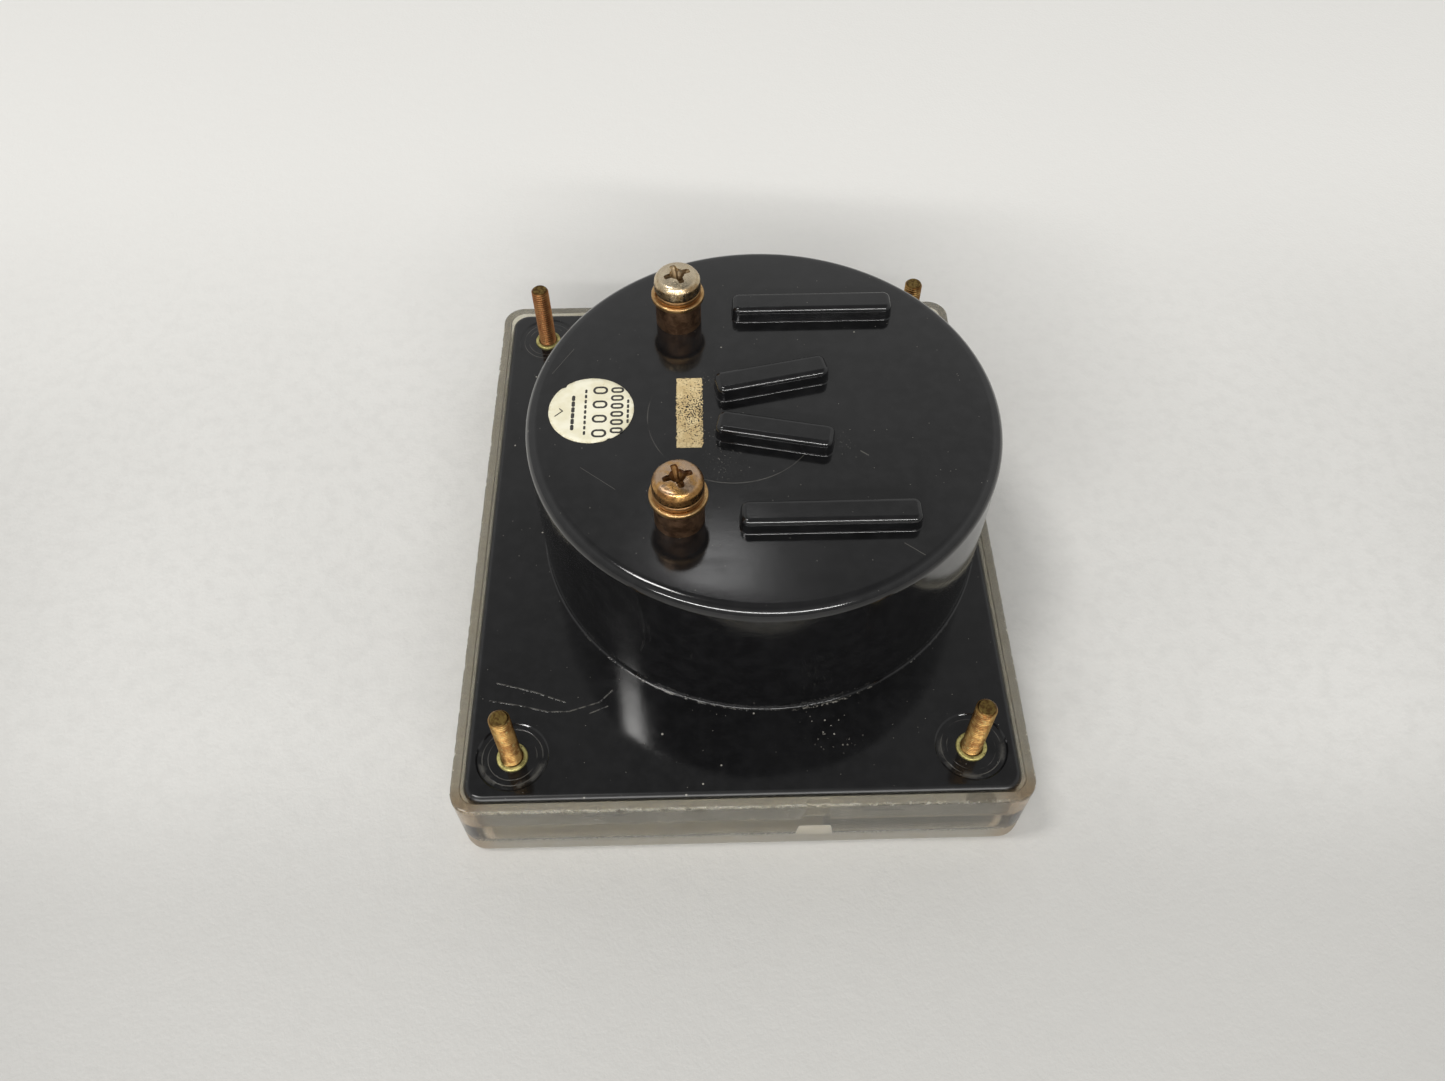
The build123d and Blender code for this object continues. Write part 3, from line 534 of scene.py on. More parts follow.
def rrect(hx, hy, r, seg=8, nx=1, ny=1):
    """A rounded rectangle's outline, anticlockwise, with its sides cut in nx and ny."""
    pts = []
    for cx, cy, a0, n in ((hx - r, hy - r, 0, nx), (-hx + r, hy - r, 90, ny), (-hx + r, -hy + r, 180, nx), (hx - r, -hy + r, 270, ny)):
        arc = [(cx + r * math.cos(math.radians(a0 + 90 * k / seg)), cy + r * math.sin(math.radians(a0 + 90 * k / seg))) for k in range(seg + 1)]
        pts.append((arc, n))
    out = []
    for i, (arc, n) in enumerate(pts):
        out += arc
        a, b = np.array(arc[-1]), np.array(pts[(i + 1) % 4][0][0])
        out += [tuple(a + (b - a) * k / n) for k in range(1, n)]
    return out


def circle(r, n, cx=0.0, cy=0.0):
    return [(cx + r * math.cos(TAU * k / n), cy + r * math.sin(TAU * k / n)) for k in range(n)]


def loft(sections):
    """Sections (outline, z) with the same number of points, closed by a flat cap at each end."""
    verts, faces, n = [], [], len(sections[0][0])
    for o, z in sections:
        verts += [(x, y, z) for x, y in o]
    for i in range(len(sections) - 1):
        a, b = i * n, (i + 1) * n
        faces += [(a + k, a + (k + 1) % n, b + (k + 1) % n, b + k) for k in range(n)]
    faces += [tuple(range(n))[::-1], tuple(range((len(sections) - 1) * n, len(sections) * n))]
    return verts, faces


def lathe(profile, n=96, cx=0.0, cy=0.0, closed=False):
    """(radius, z) turned about a vertical axis; a zero radius is a pole, closed joins the last to the first."""
    verts, rings = [], []
    for r, z in profile:
        if r < 1e-9:
            rings.append([len(verts)])
            verts.append((cx, cy, z))
        else:
            rings.append(list(range(len(verts), len(verts) + n)))
            verts += [(cx + r * math.cos(TAU * k / n), cy + r * math.sin(TAU * k / n), z) for k in range(n)]
    faces = []
    for a, b in list(zip(rings, rings[1:])) + ([(rings[-1], rings[0])] if closed else []):
        for k in range(n):
            j = (k + 1) % n
            if len(a) == 1:
                faces.append((a[0], b[j], b[k]))
            elif len(b) == 1:
                faces.append((a[k], a[j], b[0]))
            else:
                faces.append((a[k], a[j], b[j], b[k]))
    return verts, faces


def boxes(*spans):
    verts, faces = [], []
    for x0, x1, y0, y1, z0, z1 in spans:
        i = len(verts)
        verts += [(x, y, z) for z in (z0, z1) for x, y in ((x0, y0), (x1, y0), (x1, y1), (x0, y1))]
        faces += [tuple(i + k for k in f) for f in ((3, 2, 1, 0), (4, 5, 6, 7), (0, 1, 5, 4), (1, 2, 6, 5), (2, 3, 7, 6), (3, 0, 4, 7))]
    return verts, faces


def join(*parts):
    verts, faces = [], []
    for v, f in parts:
        i = len(verts)
        verts += list(v)
        faces += [tuple(i + k for k in q) for q in f]
    return verts, faces


def moved(part, dx=0.0, dy=0.0, dz=0.0, turn=0.0):
    c, s = math.cos(math.radians(turn)), math.sin(math.radians(turn))
    return [(x * c - y * s + dx, x * s + y * c + dy, z + dz) for x, y, z in part[0]], part[1]


def raw(name, part):
    me = bpy.data.meshes.new(name)
    me.from_pydata([(x * MM, y * MM, z * MM) for x, y, z in part[0]], [], part[1])
    bm = bmesh.new()
    bm.from_mesh(me)
    bmesh.ops.recalc_face_normals(bm, faces=bm.faces)
    bm.to_mesh(me)
    bm.free()
    ob = bpy.data.objects.new(name, me)
    bpy.context.scene.collection.objects.link(ob)
    return ob


def cut(ob, part, op="DIFFERENCE"):
    """An exact boolean, applied."""
    tool = raw("tool", part)
    m = ob.modifiers.new("cut", "BOOLEAN")
    m.operation, m.solver, m.object = op, "EXACT", tool
    ev = ob.evaluated_get(bpy.context.evaluated_depsgraph_get())
    new = bpy.data.meshes.new_from_object(ev)
    ob.modifiers.clear()
    old, ob.data = ob.data, new
    bpy.data.meshes.remove(old)
    bpy.data.objects.remove(tool)
    return ob


def done(ob, name, mat, body, replaces=(), angle=32.0, weighted=True, clean=True):
    """Names a finished piece, shades it, gives it its material and its body."""
    ob.name = ob.data.name = name
    me = ob.data
    if clean:
        bm = bmesh.new()
        bm.from_mesh(me)
        bmesh.ops.remove_doubles(bm, verts=bm.verts, dist=2e-7)
        bmesh.ops.dissolve_degenerate(bm, edges=bm.edges, dist=2e-7)
        loose = [v for v in bm.verts if not v.link_faces]
        bmesh.ops.delete(bm, geom=loose, context="VERTS")
        bm.to_mesh(me)
        bm.free()
    me.materials.clear()
    me.materials.append(M[mat])
    for p in me.polygons:
        p.use_smooth = True
    me.set_sharp_from_angle(angle=math.radians(angle))
    if weighted:
        w = ob.modifiers.new("normals", "WEIGHTED_NORMAL")
        w.keep_sharp, w.weight = True, 100
    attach(ob, body)
    if replaces:
        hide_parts(*replaces)
    return ob


def n3(x, y=0.0, z=0.0):
    return noise.noise(Vector((x, y, z)))


def fbm(x, y=0.0, z=0.0, octaves=4):
    return sum(n3(x * 2 ** i + 17.3 * i, y * 2 ** i, z * 2 ** i) / 2 ** i for i in range(octaves))


# =============================================================== black base, one moulding
def build_base():
    flange = loft([(rrect(39.8 - i, 48.3 - i, 3.0 - i, 12), z) for z, i in
                   [(-6.2, 0.0), (-6.05, 0.0), (-1.0, 0.0)] + [(-1.0 + math.sin(math.radians(a)), 1 - math.cos(math.radians(a))) for a in (15, 30, 45, 60, 75, 90)]])
    ob = raw("base", flange)
    prof = rounded([(31.0, 26.5), (34.75, 26.5, 2.0), (34.75, 0.45), (34.75, 0.0)], 10)[:-1]
    flare = [(34.75 + 0.4 * (1 - math.cos(math.radians(a))), 0.4 * (1 - math.sin(math.radians(a)))) for a in (0, 25, 50, 70, 90)]
    prof = [p for p in prof if p[1] > 0.42] + flare + [(35.15, -0.6)]
    sections = [(circle(r, 256, BARREL_X), z) for r, z in prof]
    cut(ob, loft(sections), "UNION")
    # raised bars on the top: drafted sides, a small flare at the foot, rounded top edge
    for cx, cy, length, turn in ((12.4, 20.0, 24.6, 0), (12.4, -20.0, 24.6, 0), (5.55, 5.3, 16.9, 12), (5.55, -5.3, 16.9, -12)):
        s = []
        for z, o in [(26.2, 0.15), (26.49, 0.15), (26.54, 0.09), (26.62, 0.03), (26.75, 0.0), (28.15, -0.05)] + \
                [(28.15 + 0.85 * math.sin(math.radians(a)), -0.05 - 0.85 * (1 - math.cos(math.radians(a)))) for a in (15, 30, 45, 60, 75, 90)]:
            s.append((rrect(length / 2 + o, 2.05 + o, 1.2 + o, 7), z))
        cut(ob, moved(loft(s), cx, cy, 0, turn), "UNION")
    # inside: pocket behind the skirt, and the hollow of the barrel
    cut(ob, loft([(rrect(37.8, 46.3, 1.6, 6), -8.0), (rrect(37.8, 46.3, 1.6, 6), -2.5)]))
    cut(ob, loft([(circle(32.25, 128, BARREL_X), -8.0), (circle(32.25, 128, BARREL_X), 24.0)]))
    # bosses and pillars
    add = [loft([(circle(4.0, 40, x, y), -5.8), (circle(4.0, 40, x, y), -1.2)]) for x, y in STUDS]
    add += [loft([(circle(3.0, 40, 0, s * 40), -5.8), (circle(3.0, 40, 0, s * 40), -1.2)]) for s in (-1, 1)]
    add += [loft([(circle(3.5, 40, 18, s * 22), 2.0), (circle(3.5, 40, 18, s * 22), 25.0)]) for s in (-1, 1)]
    cut(ob, join(*add), "UNION")
    # snap catches
    cut(ob, boxes(*[(sx * 20 - 3, sx * 20 + 3, min(sy * 47.8, sy * 48.45), max(sy * 47.8, sy * 48.45), -4.4, -3.4) for sx in (-1, 1) for sy in (-1, 1)]), "UNION")
    # spot faces, holes and the key's notch
    away = [loft([(circle(5.02, 72, x, y), -0.22), (circle(5.1, 72, x, y), -0.14), (circle(5.3, 72, x, y), 0.02), (circle(5.3, 72, x, y), 0.5)]) for x, y in STUDS]
    away += [loft([(circle(2.25, 40, x, y), -4.5), (circle(2.25, 40, x, y), -0.1)]) for x, y in STUDS]
    for a in away:
        cut(ob, a)
    holes = [loft([(circle(0.9, 24, 0, s * 40), -7.0), (circle(0.9, 24, 0, s * 40), -2.0)]) for s in (-1, 1)]
    holes += [loft([(circle(1.25, 24, 18, s * 22), 1.0), (circle(1.25, 24, 18, s * 22), 13.0)]) for s in (-1, 1)]
    holes += [loft([(circle(3.0, 48, TERM_X, s * TERM_Y), 22.5), (circle(3.0, 48, TERM_X, s * TERM_Y), 27.5)]) for s in (-1, 1)]
    cut(ob, join(*holes))
    notch = [(8.0, -6.6), (12.6, -6.6), (12.1, -1.5), (9.1, -1.5)]
    v = [(x, y, z) for y in (-49.5, -46.0) for x, z in notch]
    cut(ob, (v, [(0, 1, 2, 3), (7, 6, 5, 4), (0, 4, 5, 1), (1, 5, 6, 2), (2, 6, 7, 3), (3, 7, 4, 0)]))
    return done(ob, "rear_base", "black_base", "case", ("base_flange", "base_barrel"))


# =============================================================== clear front cover
def build_cover():
    nx, ny, sg = 140, 170, 12

    def ring(hx, hy, r):
        return rrect(hx, hy, r, sg, nx, ny)

    prof = [(41.5, 50.0, 3.6, -14.5 + 1.2 * (1 - math.cos(math.radians(a))), 1.2 * (1 - math.sin(math.radians(a)))) for a in (0, 15, 30, 45, 60, 75, 90)]
    sections = [(ring(hx - o, hy - o, r - o), z) for hx, hy, r, z, o in prof]
    for z in (-11.0, -8.6, -6.2, -3.8, -1.6, -1.0, -0.6):
        sections.append((ring(41.5, 50.0, 3.6), z))
    for a in (0, 30, 60, 90):
        o = 0.35 * (1 - math.cos(math.radians(a)))
        sections.append((ring(41.5 - o, 50.0 - o, 3.6 - o), -0.35 + 0.35 * math.sin(math.radians(a))))
    for o in (0.6, 0.95):
        sections.append((ring(41.5 - o, 50.0 - o, 3.6 - o), 0.0))
    sections += [(ring(40.15, 48.65, 2.5), 0.0), (ring(40.02, 48.52, 2.42), -0.13), (ring(40.0, 48.5, 2.4), -0.4), (ring(40.0, 48.5, 2.4), -6.2),
                 (ring(38.3, 46.8, 2.0), -6.2), (ring(38.3, 46.8, 2.0), -12.3)]
    verts, faces = loft(sections)
    # chipped and rounded outer edge of the rim: only inwards and down
    out = []
    for x, y, z in verts:
        edge = max(abs(x) - 41.5, abs(y) - 50.0)
        if z > -1.05 and edge > -0.62:
            k = max(0.0, 1 - abs(z + 0.1) / 0.95) * max(0.0, 1 + edge / 0.62)
            s = x if abs(y) > 49 else y + 200
            f = fbm(s * 0.55, 3.1, 0.0, 4)
            near = y < -48 and -42 < x < 17
            left = x < -40
            deep = (0.20 if near else 0.22 if left else 0.10) * max(0.0, f + (0.20 if near else 0.0 if left else -0.10))
            fine = 0.05 * abs(n3(s * 4.1, 7.7))
            d = (deep * 1.25 + fine) * k
            d = min(d, 0.5)
            if abs(y) - 50.0 > -0.7:
                y -= math.copysign(d, y)
            if abs(x) - 41.5 > -0.7:
                x -= math.copysign(d, x)
            z = min(z, z - 0.55 * d)
        out.append((x, y, z))
    ob = raw("cover", (out, faces))
    # key lug inside the near wall
    lug = [(8.1, -6.3), (12.5, -6.3), (12.0, -1.6), (9.2, -1.6)]
    v = [(x, y, z) for y in (-48.9, -46.5) for x, z in lug]
    cut(ob, (v, [(0, 1, 2, 3), (7, 6, 5, 4), (0, 4, 5, 1), (1, 5, 6, 2), (2, 6, 7, 3), (3, 7, 4, 0)]), "UNION")
    cut(ob, loft([(circle(3.7, 64, 31, 0), -15.0), (circle(3.7, 64, 31, 0), -14.5), (circle(3.55, 64, 31, 0), -14.35), (circle(3.55, 64, 31, 0), -13.3)]))
    cut(ob, loft([(circle(2.05, 48, 31, 0), -14.0), (circle(2.05, 48, 31, 0), -11.0)]))
    return done(ob, "clear_front_cover", "clear_cover", "case", ("front_cover",), angle=28)


# =============================================================== threads
def thread(x, y, z0, z1, r, pitch, depth, chamfer=0.4, n=40, foot=None):
    """A right-handed screw thread as one closed grid; foot=(z, radius) adds a plain part below z0."""
    rows, step = [], pitch / 8
    if foot:
        rows += [(foot[0], foot[1], 0.0), (z0 - 0.02, foot[1], 0.0)]
    k = int(round((z1 - z0) / step))
    for i in range(k + 1):
        z = z0 + (z1 - z0) * i / k
        rows.append((z, None, 1.0))
    verts, faces = [], []
    for z, plain, _ in rows:
        for j in range(n):
            a = TAU * j / n
            if plain is not None:
                rr = plain
            else:
                u = (z / pitch - j / n) % 1.0
                tri = 1 - abs(2 * u - 1)
                tri = min(1.0, max(0.0, (tri - 0.12) / 0.70))
                rr = r - depth * (1 - tri)
                rr = min(rr, r - max(0.0, chamfer - (z1 - z)))
                rr = min(rr, r - max(0.0, 0.25 - (z - z0)) if not foot else rr)
            verts.append((x + rr * math.cos(a), y + rr * math.sin(a), z))
    for i in range(len(rows) - 1):
        faces += [(i * n + j, i * n + (j + 1) % n, (i + 1) * n + (j + 1) % n, (i + 1) * n + j) for j in range(n)]
    faces += [tuple(range(n))[::-1], tuple(range((len(rows) - 1) * n, len(rows) * n))]
    return verts, faces


def build_studs():
    parts = [thread(x, y, -0.3, 12.4, 1.5, 0.5, 0.27, 0.42, 40, foot=(-4.5, 1.8)) for x, y in STUDS]
    # hand-cut ends are never quite level
    flat = []
    for (v, f), (x, y) in zip(parts, STUDS):
        flat.append(([(a, b, min(c, 12.4 - 0.03 * (1 + math.cos(3 * math.atan2(b - y, a - x)))) if c > 12.2 else c) for a, b, c in v], f))
    done(raw("studs", join(*flat)), "threaded_studs", "yellow_zinc", "case", ("mounting_studs",), angle=50)
    rings = []
    for x, y in STUDS:
        prof = rounded([(1.62, -4.5), (2.24, -4.5), (2.24, 0.16, 0.2), (1.62, 0.16, 0.12)], 4, closed=True)
        rings.append(lathe(prof, 48, x, y, closed=True))
    done(raw("collars", join(*rings)), "stud_collar_rings", "collar", "case", ("stud_collars",), angle=50)


# =============================================================== terminals
def build_terminal(tag, s):
    cx, cy = TERM_X, s * TERM_Y
    # post: turned, slight chamfers
    prof = rounded([(3.0, 20.2), (3.0, 26.46), (3.45, 26.46, 0.05), (3.45, 31.3, 0.28), (2.3, 31.3, 0.2), (2.05, 31.05), (2.05, 21.8), (0.0, 21.2)], 4)
    prof = [(0.0, 20.2)] + prof
    done(raw("post", lathe(prof, 96, cx, cy)), f"terminal_post_turned_{tag}", "tarnished_brass", "case", (f"terminal_post_{tag}",), angle=30)
    # flat washer, punched: one edge rounded, the other sharper
    prof = rounded([(2.15, 31.31), (4.0, 31.31, 0.14), (4.0, 32.08, 0.26), (2.15, 32.08, 0.12)], 5, closed=True)
    v, f = lathe(prof, 96, cx, cy, closed=True)
    tilt = 0.012 * s
    v = [(x, y, min(32.09, max(31.3, z + tilt * math.sin(2 * math.atan2(y - cy, x - cx))))) for x, y, z in v]
    done(raw("fw", (v, f)), f"flat_washer_punched_{tag}", "washer_flat", f"terminal_{tag}_washers", (f"flat_washer_{tag}",), angle=30)
    # split spring washer: a nearly closed helix with slanted ends
    gap = math.radians(200 if tag == "a" else 22)
    sec = rounded([(2.12, -0.42, 0.08), (3.5, -0.42, 0.12), (3.5, 0.42, 0.12), (2.12, 0.42, 0.08)], 3, closed=True)
    k, m = 88, len(sec)
    verts, faces = [], []
    for i in range(k + 1):
        t = i / k
        a = gap + math.radians(7) + (TAU - math.radians(14)) * t
        lift = 0.13 * (t - 0.5)
        for rr, zz in sec:
            aa = a + zz * 0.16
            verts.append((cx + rr * math.cos(aa), cy + rr * math.sin(aa), min(33.09, max(32.1, 32.6 + zz + lift))))
    for i in range(k):
        faces += [(i * m + j, i * m + (j + 1) % m, (i + 1) * m + (j + 1) % m, (i + 1) * m + j) for j in range(m)]
    faces += [tuple(range(m))[::-1], tuple(range(k * m, (k + 1) * m))]
    done(raw("sw", (verts, faces)), f"spring_washer_split_{tag}", "bronze_spring", f"terminal_{tag}_washers", (f"spring_washer_{tag}",), angle=35)
    # pan head with a worn cross recess, and the M4 thread under it
    head = rounded([(3.38, 33.1), (3.5, 33.2), (3.5, 34.0), (3.44, 34.6, 0.5), (2.95, 35.40, 0.9), (1.6, 35.68, 2.0), (0.0, 35.7)], 6)
    head = [(0.0, 33.1)] + [p for p in head]
    ob = raw("screw", lathe(head, 112, cx, cy))
    cut(ob, thread(cx, cy, 23.4, 33.3, 2.0, 0.7, 0.40, 0.0, 40), "UNION")
    turn = 22 if tag == "a" else 17
    for q in (0, 90):
        w0, w1, l0, l1 = 0.52, 0.30, 2.02, 0.85
        o0 = rounded([(-l0, -w0 * 0.8, 0.25), (-0.8, -w0, 0.1), (0.8, -w0, 0.1), (l0, -w0 * 0.8, 0.25), (l0, w0 * 0.8, 0.25), (0.8, w0, 0.1), (-0.8, w0, 0.1), (-l0, w0 * 0.8, 0.25)], 3, closed=True)
        o1 = rounded([(-l1, -w1 * 0.8, 0.1), (-0.4, -w1, 0.05), (0.4, -w1, 0.05), (l1, -w1 * 0.8, 0.1), (l1, w1 * 0.8, 0.1), (0.4, w1, 0.05), (-0.4, w1, 0.05), (-l1, w1 * 0.8, 0.1)], 3, closed=True)
        om = [tuple(0.5 * (np.array(a) + np.array(b)) * 1.04) for a, b in zip(o0, o1)]
        oo = [tuple(np.array(a) * 1.05) for a in o0]
        cut(ob, moved(loft([(o1, 33.95), (om, 34.7), (o0, 35.45), (oo, 36.3)]), cx, cy, 0, turn + q))
    cone = lathe([(0.0, 33.7), (0.25, 33.75), (0.95, 34.9), (1.25, 36.2), (0.0, 36.2)], 32, cx, cy)
    cut(ob, cone)
    name = "nickel_terminal" if tag == "a" else "copper_terminal"
    done(ob, f"terminal_screw_cross_{tag}", name, f"terminal_{tag}_screw", (f"terminal_screw_{tag}",), angle=38)


# =============================================================== sticker, its marks, and the tan patch
def build_labels():
    cx, cy, n = -20.9, 0.6, 160
    rows = []
    for rr, z in ((6.25, 26.5), (6.25, 26.575), (6.19, 26.61), (5.4, 26.615), (3.4, 26.62), (1.6, 26.62)):
        row = []
        for k in range(n):
            a = TAU * k / n
            nick = 0.30 * math.exp(-(((math.degrees(a) - 131) / 3.2) ** 2)) + 0.22 * math.exp(-(((math.degrees(a) - 296) / 2.6) ** 2))
            r = rr * (1 - (0.006 + 0.006 * n3(a * 6, 1.1)) * (rr > 6)) - nick * (rr > 6)
            row.append((cx + r * math.cos(a), cy + r * math.sin(a), z))
        rows.append(row)
    verts = [p for r in rows for p in r] + [(cx, cy, 26.62), (cx, cy, 26.5)]
    faces = []
    for i in range(len(rows) - 1):
        faces += [(i * n + k, i * n + (k + 1) % n, (i + 1) * n + (k + 1) % n, (i + 1) * n + k) for k in range(n)]
    e, b = (len(rows) - 1) * n, len(rows) * n
    faces += [(e + k, e + (k + 1) % n, b) for k in range(n)] + [((k + 1) % n, k, b + 1) for k in range(n)]
    done(raw("sticker", (verts, faces)), "round_sticker", "sticker_paper", "case", ("inspection_sticker",), angle=40)
    # placeholder print: a tick, ruled dashes and rows of plain zeros; no words
    z0, z1 = 26.60, 26.64
    parts = []

    def stroke(p, q, w):
        (ax, ay), (bx, by) = p, q
        l = math.hypot(bx - ax, by - ay)
        a = math.degrees(math.atan2(by - ay, bx - ax))
        parts.append(moved(loft([(rrect(l / 2 + w / 2, w / 2, w / 2 - 0.002, 3), z0), (rrect(l / 2 + w / 2, w / 2, w / 2 - 0.002, 3), z1)]), (ax + bx) / 2, (ay + by) / 2, 0, a))

    def zero(x, y, h, w, t):
        """An upright 0 read with its top towards -X."""
        o, i = rrect(h / 2, w / 2, w / 2 - 0.01, 6), rrect(h / 2 - t, w / 2 - t, w / 2 - t - 0.01, 6)
        m = len(o)
        v = [(x + a, y + b_, z) for z in (z0, z1) for a, b_ in o] + [(x + a, y + b_, z) for z in (z0, z1) for a, b_ in i]
        f = []
        for k in range(m):
            j = (k + 1) % m
            f += [(k, j, m + j, m + k), (2 * m + k, 3 * m + k, 3 * m + j, 2 * m + j), (m + k, m + j, 3 * m + j, 3 * m + k), (k, 2 * m + k, 2 * m + j, j)]
        parts.append((v, f))

    stroke((-25.5, 0.9), (-25.05, 0.45), 0.16)
    stroke((-25.05, 0.45), (-26.1, -0.5), 0.16)
    for i in range(6):
        stroke((-23.55, -3.0 + i * 1.12), (-23.55, -2.45 + i * 1.12), 0.5)
    for i in range(9):
        stroke((-21.75, -4.0 + i * 1.0), (-21.75, -3.62 + i * 1.0), 0.34)
    for i in range(4):
        zero(-19.65, -3.9 + i * 2.75, 2.2, 1.5, 0.34)
    for i in range(6):
        zero(-17.15, -3.4 + i * 1.55, 1.9, 1.1, 0.32)
    for i in range(5):
        stroke((-15.55, -1.9 + i * 0.95), (-15.55, -1.5 + i * 0.95), 0.34)
    done(raw("print", join(*parts)), "sticker_print", "sticker_ink", "case", angle=40, weighted=False)

    # worn paper: a grid of small cells with torn edges and rubbed-through spots
    x0, x1, y0, y1, c = -8.7, -4.5, -6.9, 6.6, 0.10
    nx, ny = int(round((x1 - x0) / c)), int(round((y1 - y0) / c))
    keep = np.zeros((nx, ny), bool)
    for i in range(nx):
        for j in range(ny):
            x, y = x0 + (i + 0.5) * c, y0 + (j + 0.5) * c
            inx = min(x - x0, x1 - x)
            iny = min(y - y0, y1 - y)
            lim = 0.22 + 0.22 * n3(y * 2.2, 4.0 if x < -6.6 else 9.0) + 0.16 * n3(y * 7.0, x * 0.4)
            limy = 0.12 + 0.12 * n3(x * 3.0, 2.0 if y < 0 else 6.0)
            hole = n3(x * 4.6, y * 4.6, 1.0) + 0.5 * n3(x * 10, y * 10, 2.0)
            worn = 0.40 - 0.40 * math.exp(-((y - 0.2) / 3.4) ** 2) - 0.10 * math.exp(-((x + 4.6) / 0.6) ** 2) + 0.22 * math.exp(-((x + 8.2) / 0.7) ** 2)
            keep[i, j] = inx > lim and iny > limy and hole < worn
    # drop cells that touch the rest only at a corner
    for _ in range(3):
        for i in range(1, nx):
            for j in range(1, ny):
                q = keep[i - 1:i + 1, j - 1:j + 1]
                if q[0, 0] and q[1, 1] and not q[0, 1] and not q[1, 0]:
                    keep[i, j] = False
                if q[0, 1] and q[1, 0] and not q[0, 0] and not q[1, 1]:
                    keep[i, j - 1] = False
    ids, verts, faces = {}, [], []

    def vid(i, j, up):
        key = (i, j, up)
        if key not in ids:
            ids[key] = len(verts)
            x, y = x0 + i * c, y0 + j * c
            wob = 0.03
            verts.append((min(x1, max(x0, x + wob * n3(x * 9, y * 9, 3.0))), min(y1, max(y0, y + wob * n3(x * 9, y * 9, 8.0))), (26.562 + 0.016 * n3(x * 1.7, y * 1.7)) if up else 26.5))
        return ids[key]

    for i in range(nx):
        for j in range(ny):
            if not keep[i, j]:
                continue
            faces.append((vid(i, j, 1), vid(i + 1, j, 1), vid(i + 1, j + 1, 1), vid(i, j + 1, 1)))
            faces.append((vid(i, j, 0), vid(i, j + 1, 0), vid(i + 1, j + 1, 0), vid(i + 1, j, 0)))
            for di, dj, a, b2 in ((-1, 0, (i, j), (i, j + 1)), (1, 0, (i + 1, j + 1), (i + 1, j)), (0, -1, (i + 1, j), (i, j)), (0, 1, (i, j + 1), (i + 1, j + 1))):
                p, q = i + di, j + dj
                if not (0 <= p < nx and 0 <= q < ny and keep[p, q]):
                    faces.append((vid(*a, 1), vid(*b2, 1), vid(*b2, 0), vid(*a, 0)))
    done(raw("patch", (verts, faces)), "worn_paper_patch", "tan_patch", "case", ("marking_patch",), angle=50, weighted=False)


# =============================================================== dial scale
def build_dial():
    px, z0, z1 = 20.0, -6.64, -6.6
    parts = []

    def bar(r0, r1, ang, w):
        v = [(r0, -w / 2), (r1, -w / 2), (r1, w / 2), (r0, w / 2)]
        parts.append(moved(([(x, y, z) for z in (z0, z1) for x, y in v], [(3, 2, 1, 0), (4, 5, 6, 7), (0, 1, 5, 4), (1, 2, 6, 5), (2, 3, 7, 6), (3, 0, 4, 7)]), px, 0, 0, ang))

    for i in range(51):
        a = 135 + 90 * i / 50
        major, mid = i % 10 == 0, i % 5 == 0
        bar(46.6, 51.0 if major else 49.4 if mid else 48.4, a, 0.62 if major else 0.34 if mid else 0.2)
    n = 120
    v, f = [], []
    for k in range(n + 1):
        a = math.radians(134.8 + 90.4 * k / n)
        for r, z in ((46.45, z0), (46.75, z0), (46.75, z1), (46.45, z1)):
            v.append((px + r * math.cos(a), r * math.sin(a), z))
    for k in range(n):
        f += [(4 * k + j, 4 * k + (j + 1) % 4, 4 * k + 4 + (j + 1) % 4, 4 * k + 4 + j) for j in range(4)]
    f += [(3, 2, 1, 0), (4 * n, 4 * n + 1, 4 * n + 2, 4 * n + 3)]
    parts.append((v, f))
    done(raw("scale", join(*parts)), "dial_scale", "dial_ink", "case", angle=40, weighted=False)
    for i, num in enumerate((0, 20, 40, 60, 80, 100)):
        a = math.radians(135 + 18 * i)
        cu = bpy.data.curves.new("num", "FONT")
        cu.body, cu.size, cu.align_x, cu.align_y, cu.extrude, cu.resolution_u = str(num), 4.6 * MM, "CENTER", "CENTER", 0.02 * MM, 6
        t = bpy.data.objects.new("num", cu)
        bpy.context.scene.collection.objects.link(t)
        r = 53.6 if num else 53.2
        x, y = px + r * math.cos(a), r * math.sin(a)
        basis = Matrix(((0, -1, 0, x * MM), (-1, 0, 0, y * MM), (0, 0, -1, -6.62 * MM), (0, 0, 0, 1)))
        bpy.context.view_layer.update()
        me = bpy.data.meshes.new_from_object(t.evaluated_get(bpy.context.evaluated_depsgraph_get()))
        me.transform(basis)
        bpy.data.objects.remove(t)
        bpy.data.curves.remove(cu)
        ob = bpy.data.objects.new("num", me)
        bpy.context.scene.collection.objects.link(ob)
        done(ob, f"dial_number_{num}", "dial_ink", "case", angle=40, weighted=False)


build_base()
build_cover()
build_studs()
build_terminal("a", 1)
build_terminal("b", -1)
build_labels()
build_dial()

# =============================================================== CAD pieces that keep their shape
SLOT = {s["node"]: s["material_slot"] for s in frame["record"]["subparts"]}
OWN = {"terminal_nuts": "bright_brass"}
for name, ob in frame["nodes"].items():
    if ob.hide_render:
        continue
    key = OWN.get(name, SLOT[name])
    mat = M[key]
    if len(ob.material_slots) == 0:
        ob.data.materials.append(mat)
    for s in ob.material_slots:
        s.link = "OBJECT"
        s.material = mat

# =============================================================== stage
floor = raw("floor", ([(-1500, -1500, -14.52), (1500, -1500, -14.52), (1500, 1500, -14.52), (-1500, 1500, -14.52)], [(0, 1, 2, 3)]))
floor.data.materials.append(M["floor"])


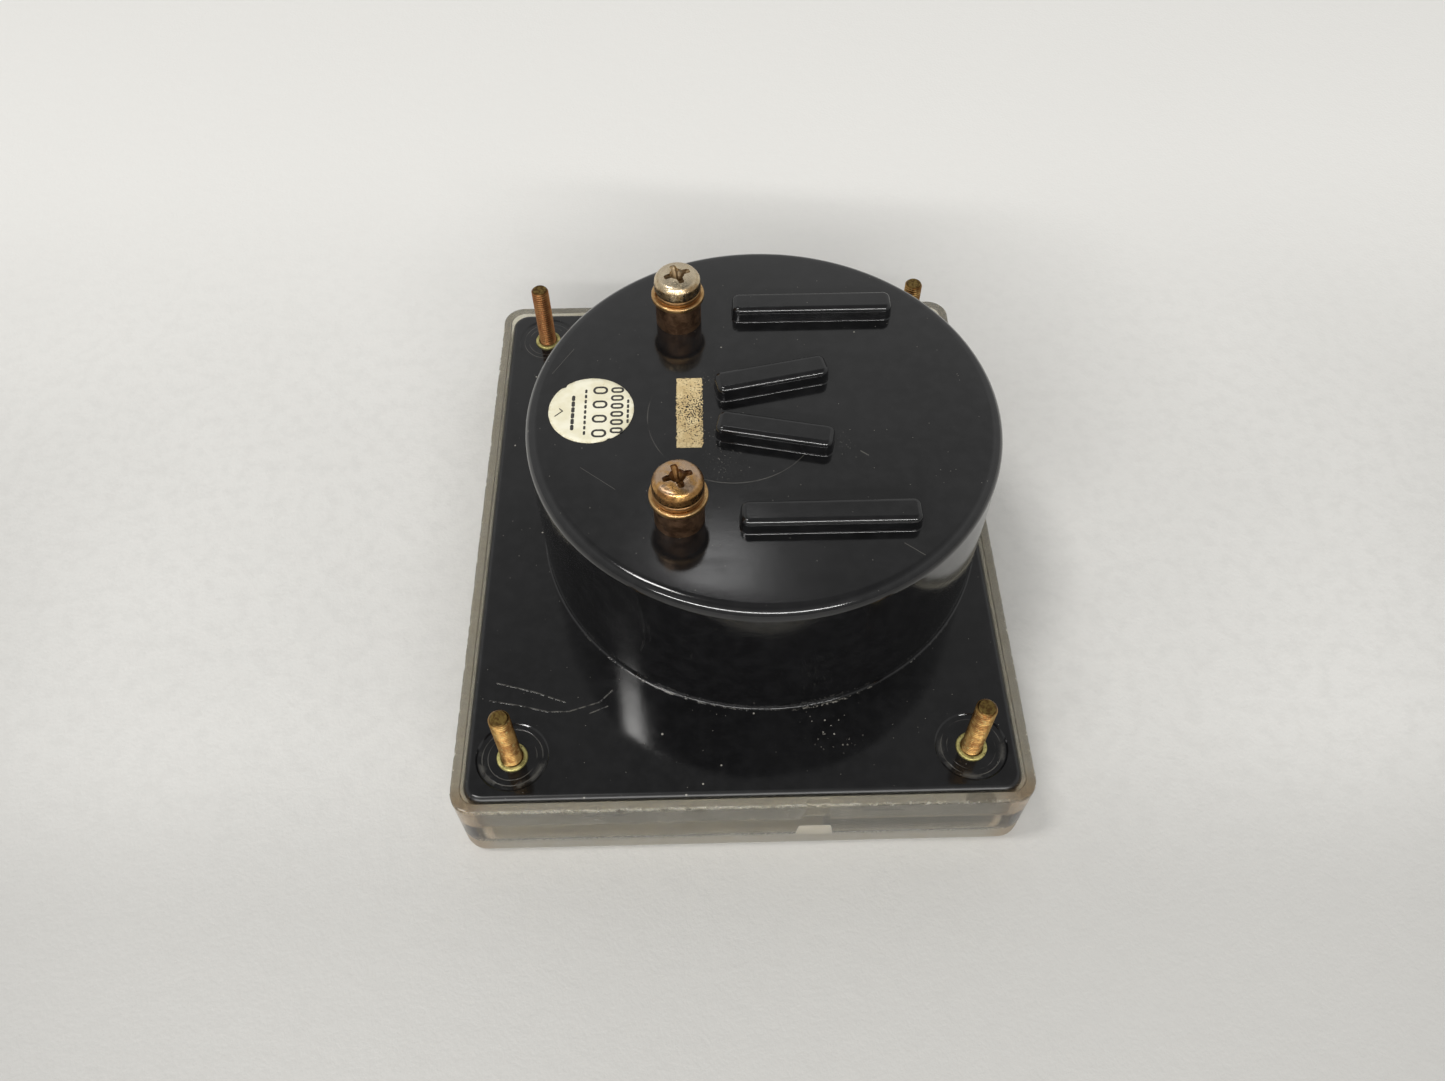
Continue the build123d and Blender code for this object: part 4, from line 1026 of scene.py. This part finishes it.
def area(name, direction, distance, w, h, power, colour=(1, 1, 1), spread=180.0, roll=0.0, at=(0, 0, 0)):
    d = Vector(direction).normalized()
    l = bpy.data.lights.new(name, "AREA")
    l.shape, l.size, l.size_y, l.energy, l.color, l.spread = "RECTANGLE", w, h, power, colour, math.radians(spread)
    o = bpy.data.objects.new(name, l)
    bpy.context.scene.collection.objects.link(o)
    o.matrix_world = Matrix.Translation(Vector(at) + d * distance) @ d.to_track_quat("Z", "Y").to_matrix().to_4x4() @ Matrix.Rotation(math.radians(roll), 4, "Z")
    return o


area("ceiling_left", (-0.37, -0.05, 0.93), 1.7, 0.20, 0.38, 7.2, (1.0, 0.985, 0.96))
area("strip_front", (-0.10, -0.84, 0.54), 1.5, 2.0, 0.07, 21.0, (1.0, 0.99, 0.97))
area("lamp_far", (0.0052, 0.5354, 0.8446), 1.909, 0.14, 0.09, 0.20)

world = bpy.data.worlds.new("studio")
bpy.context.scene.world = world
world.use_nodes = True
wt = world.node_tree
wt.nodes.clear()
wo = wt.nodes.new("ShaderNodeOutputWorld")
bg = wt.nodes.new("ShaderNodeBackground")
tc = wt.nodes.new("ShaderNodeTexCoord")
sx = wt.nodes.new("ShaderNodeSeparateXYZ")
rp = wt.nodes.new("ShaderNodeValToRGB")
wt.links.new(tc.outputs["Generated"], sx.inputs[0])
wt.links.new(sx.outputs[2], rp.inputs[0])
for i, (at, v) in enumerate(((0.0, 0.50), (0.45, 0.66), (0.64, 0.76), (0.84, 0.36), (0.93, 0.20))):
    e = rp.color_ramp.elements[i] if i < 2 else rp.color_ramp.elements.new(at)
    e.position, e.color = at, (v, v, v * 0.985, 1)
side = wt.nodes.new("ShaderNodeMapRange")
side.inputs[1].default_value, side.inputs[2].default_value = -0.7, 0.15
side.inputs[3].default_value, side.inputs[4].default_value = 0.66, 1.0
wt.links.new(sx.outputs[1], side.inputs[0])
wt.links.new(side.outputs[0], bg.inputs[1])
wt.links.new(rp.outputs[0], bg.inputs[0])
wt.links.new(bg.outputs[0], wo.inputs[0])

cam = bpy.data.cameras.new("camera")
cam.sensor_fit, cam.sensor_width, cam.lens = "HORIZONTAL", 36.0, 36.0 * 1148.733 / 1445
cam.clip_start, cam.clip_end = 0.01, 20.0
camera = bpy.data.objects.new("camera", cam)
bpy.context.scene.collection.objects.link(camera)
camera.matrix_world = Matrix.Translation((-0.00434443, -0.11107402, 0.15263955)) @ Matrix.Rotation(-0.0223825662, 4, "Z") @ Matrix.Rotation(0.609742886, 4, "X") @ Matrix.Rotation(-0.00257613759, 4, "Z")
bpy.context.scene.camera = camera
bpy.context.scene.view_settings.view_transform = "Standard"
bpy.context.scene.view_settings.look = "None"
bpy.context.scene.view_settings.exposure = 0.0

bpy.context.view_layer.update()
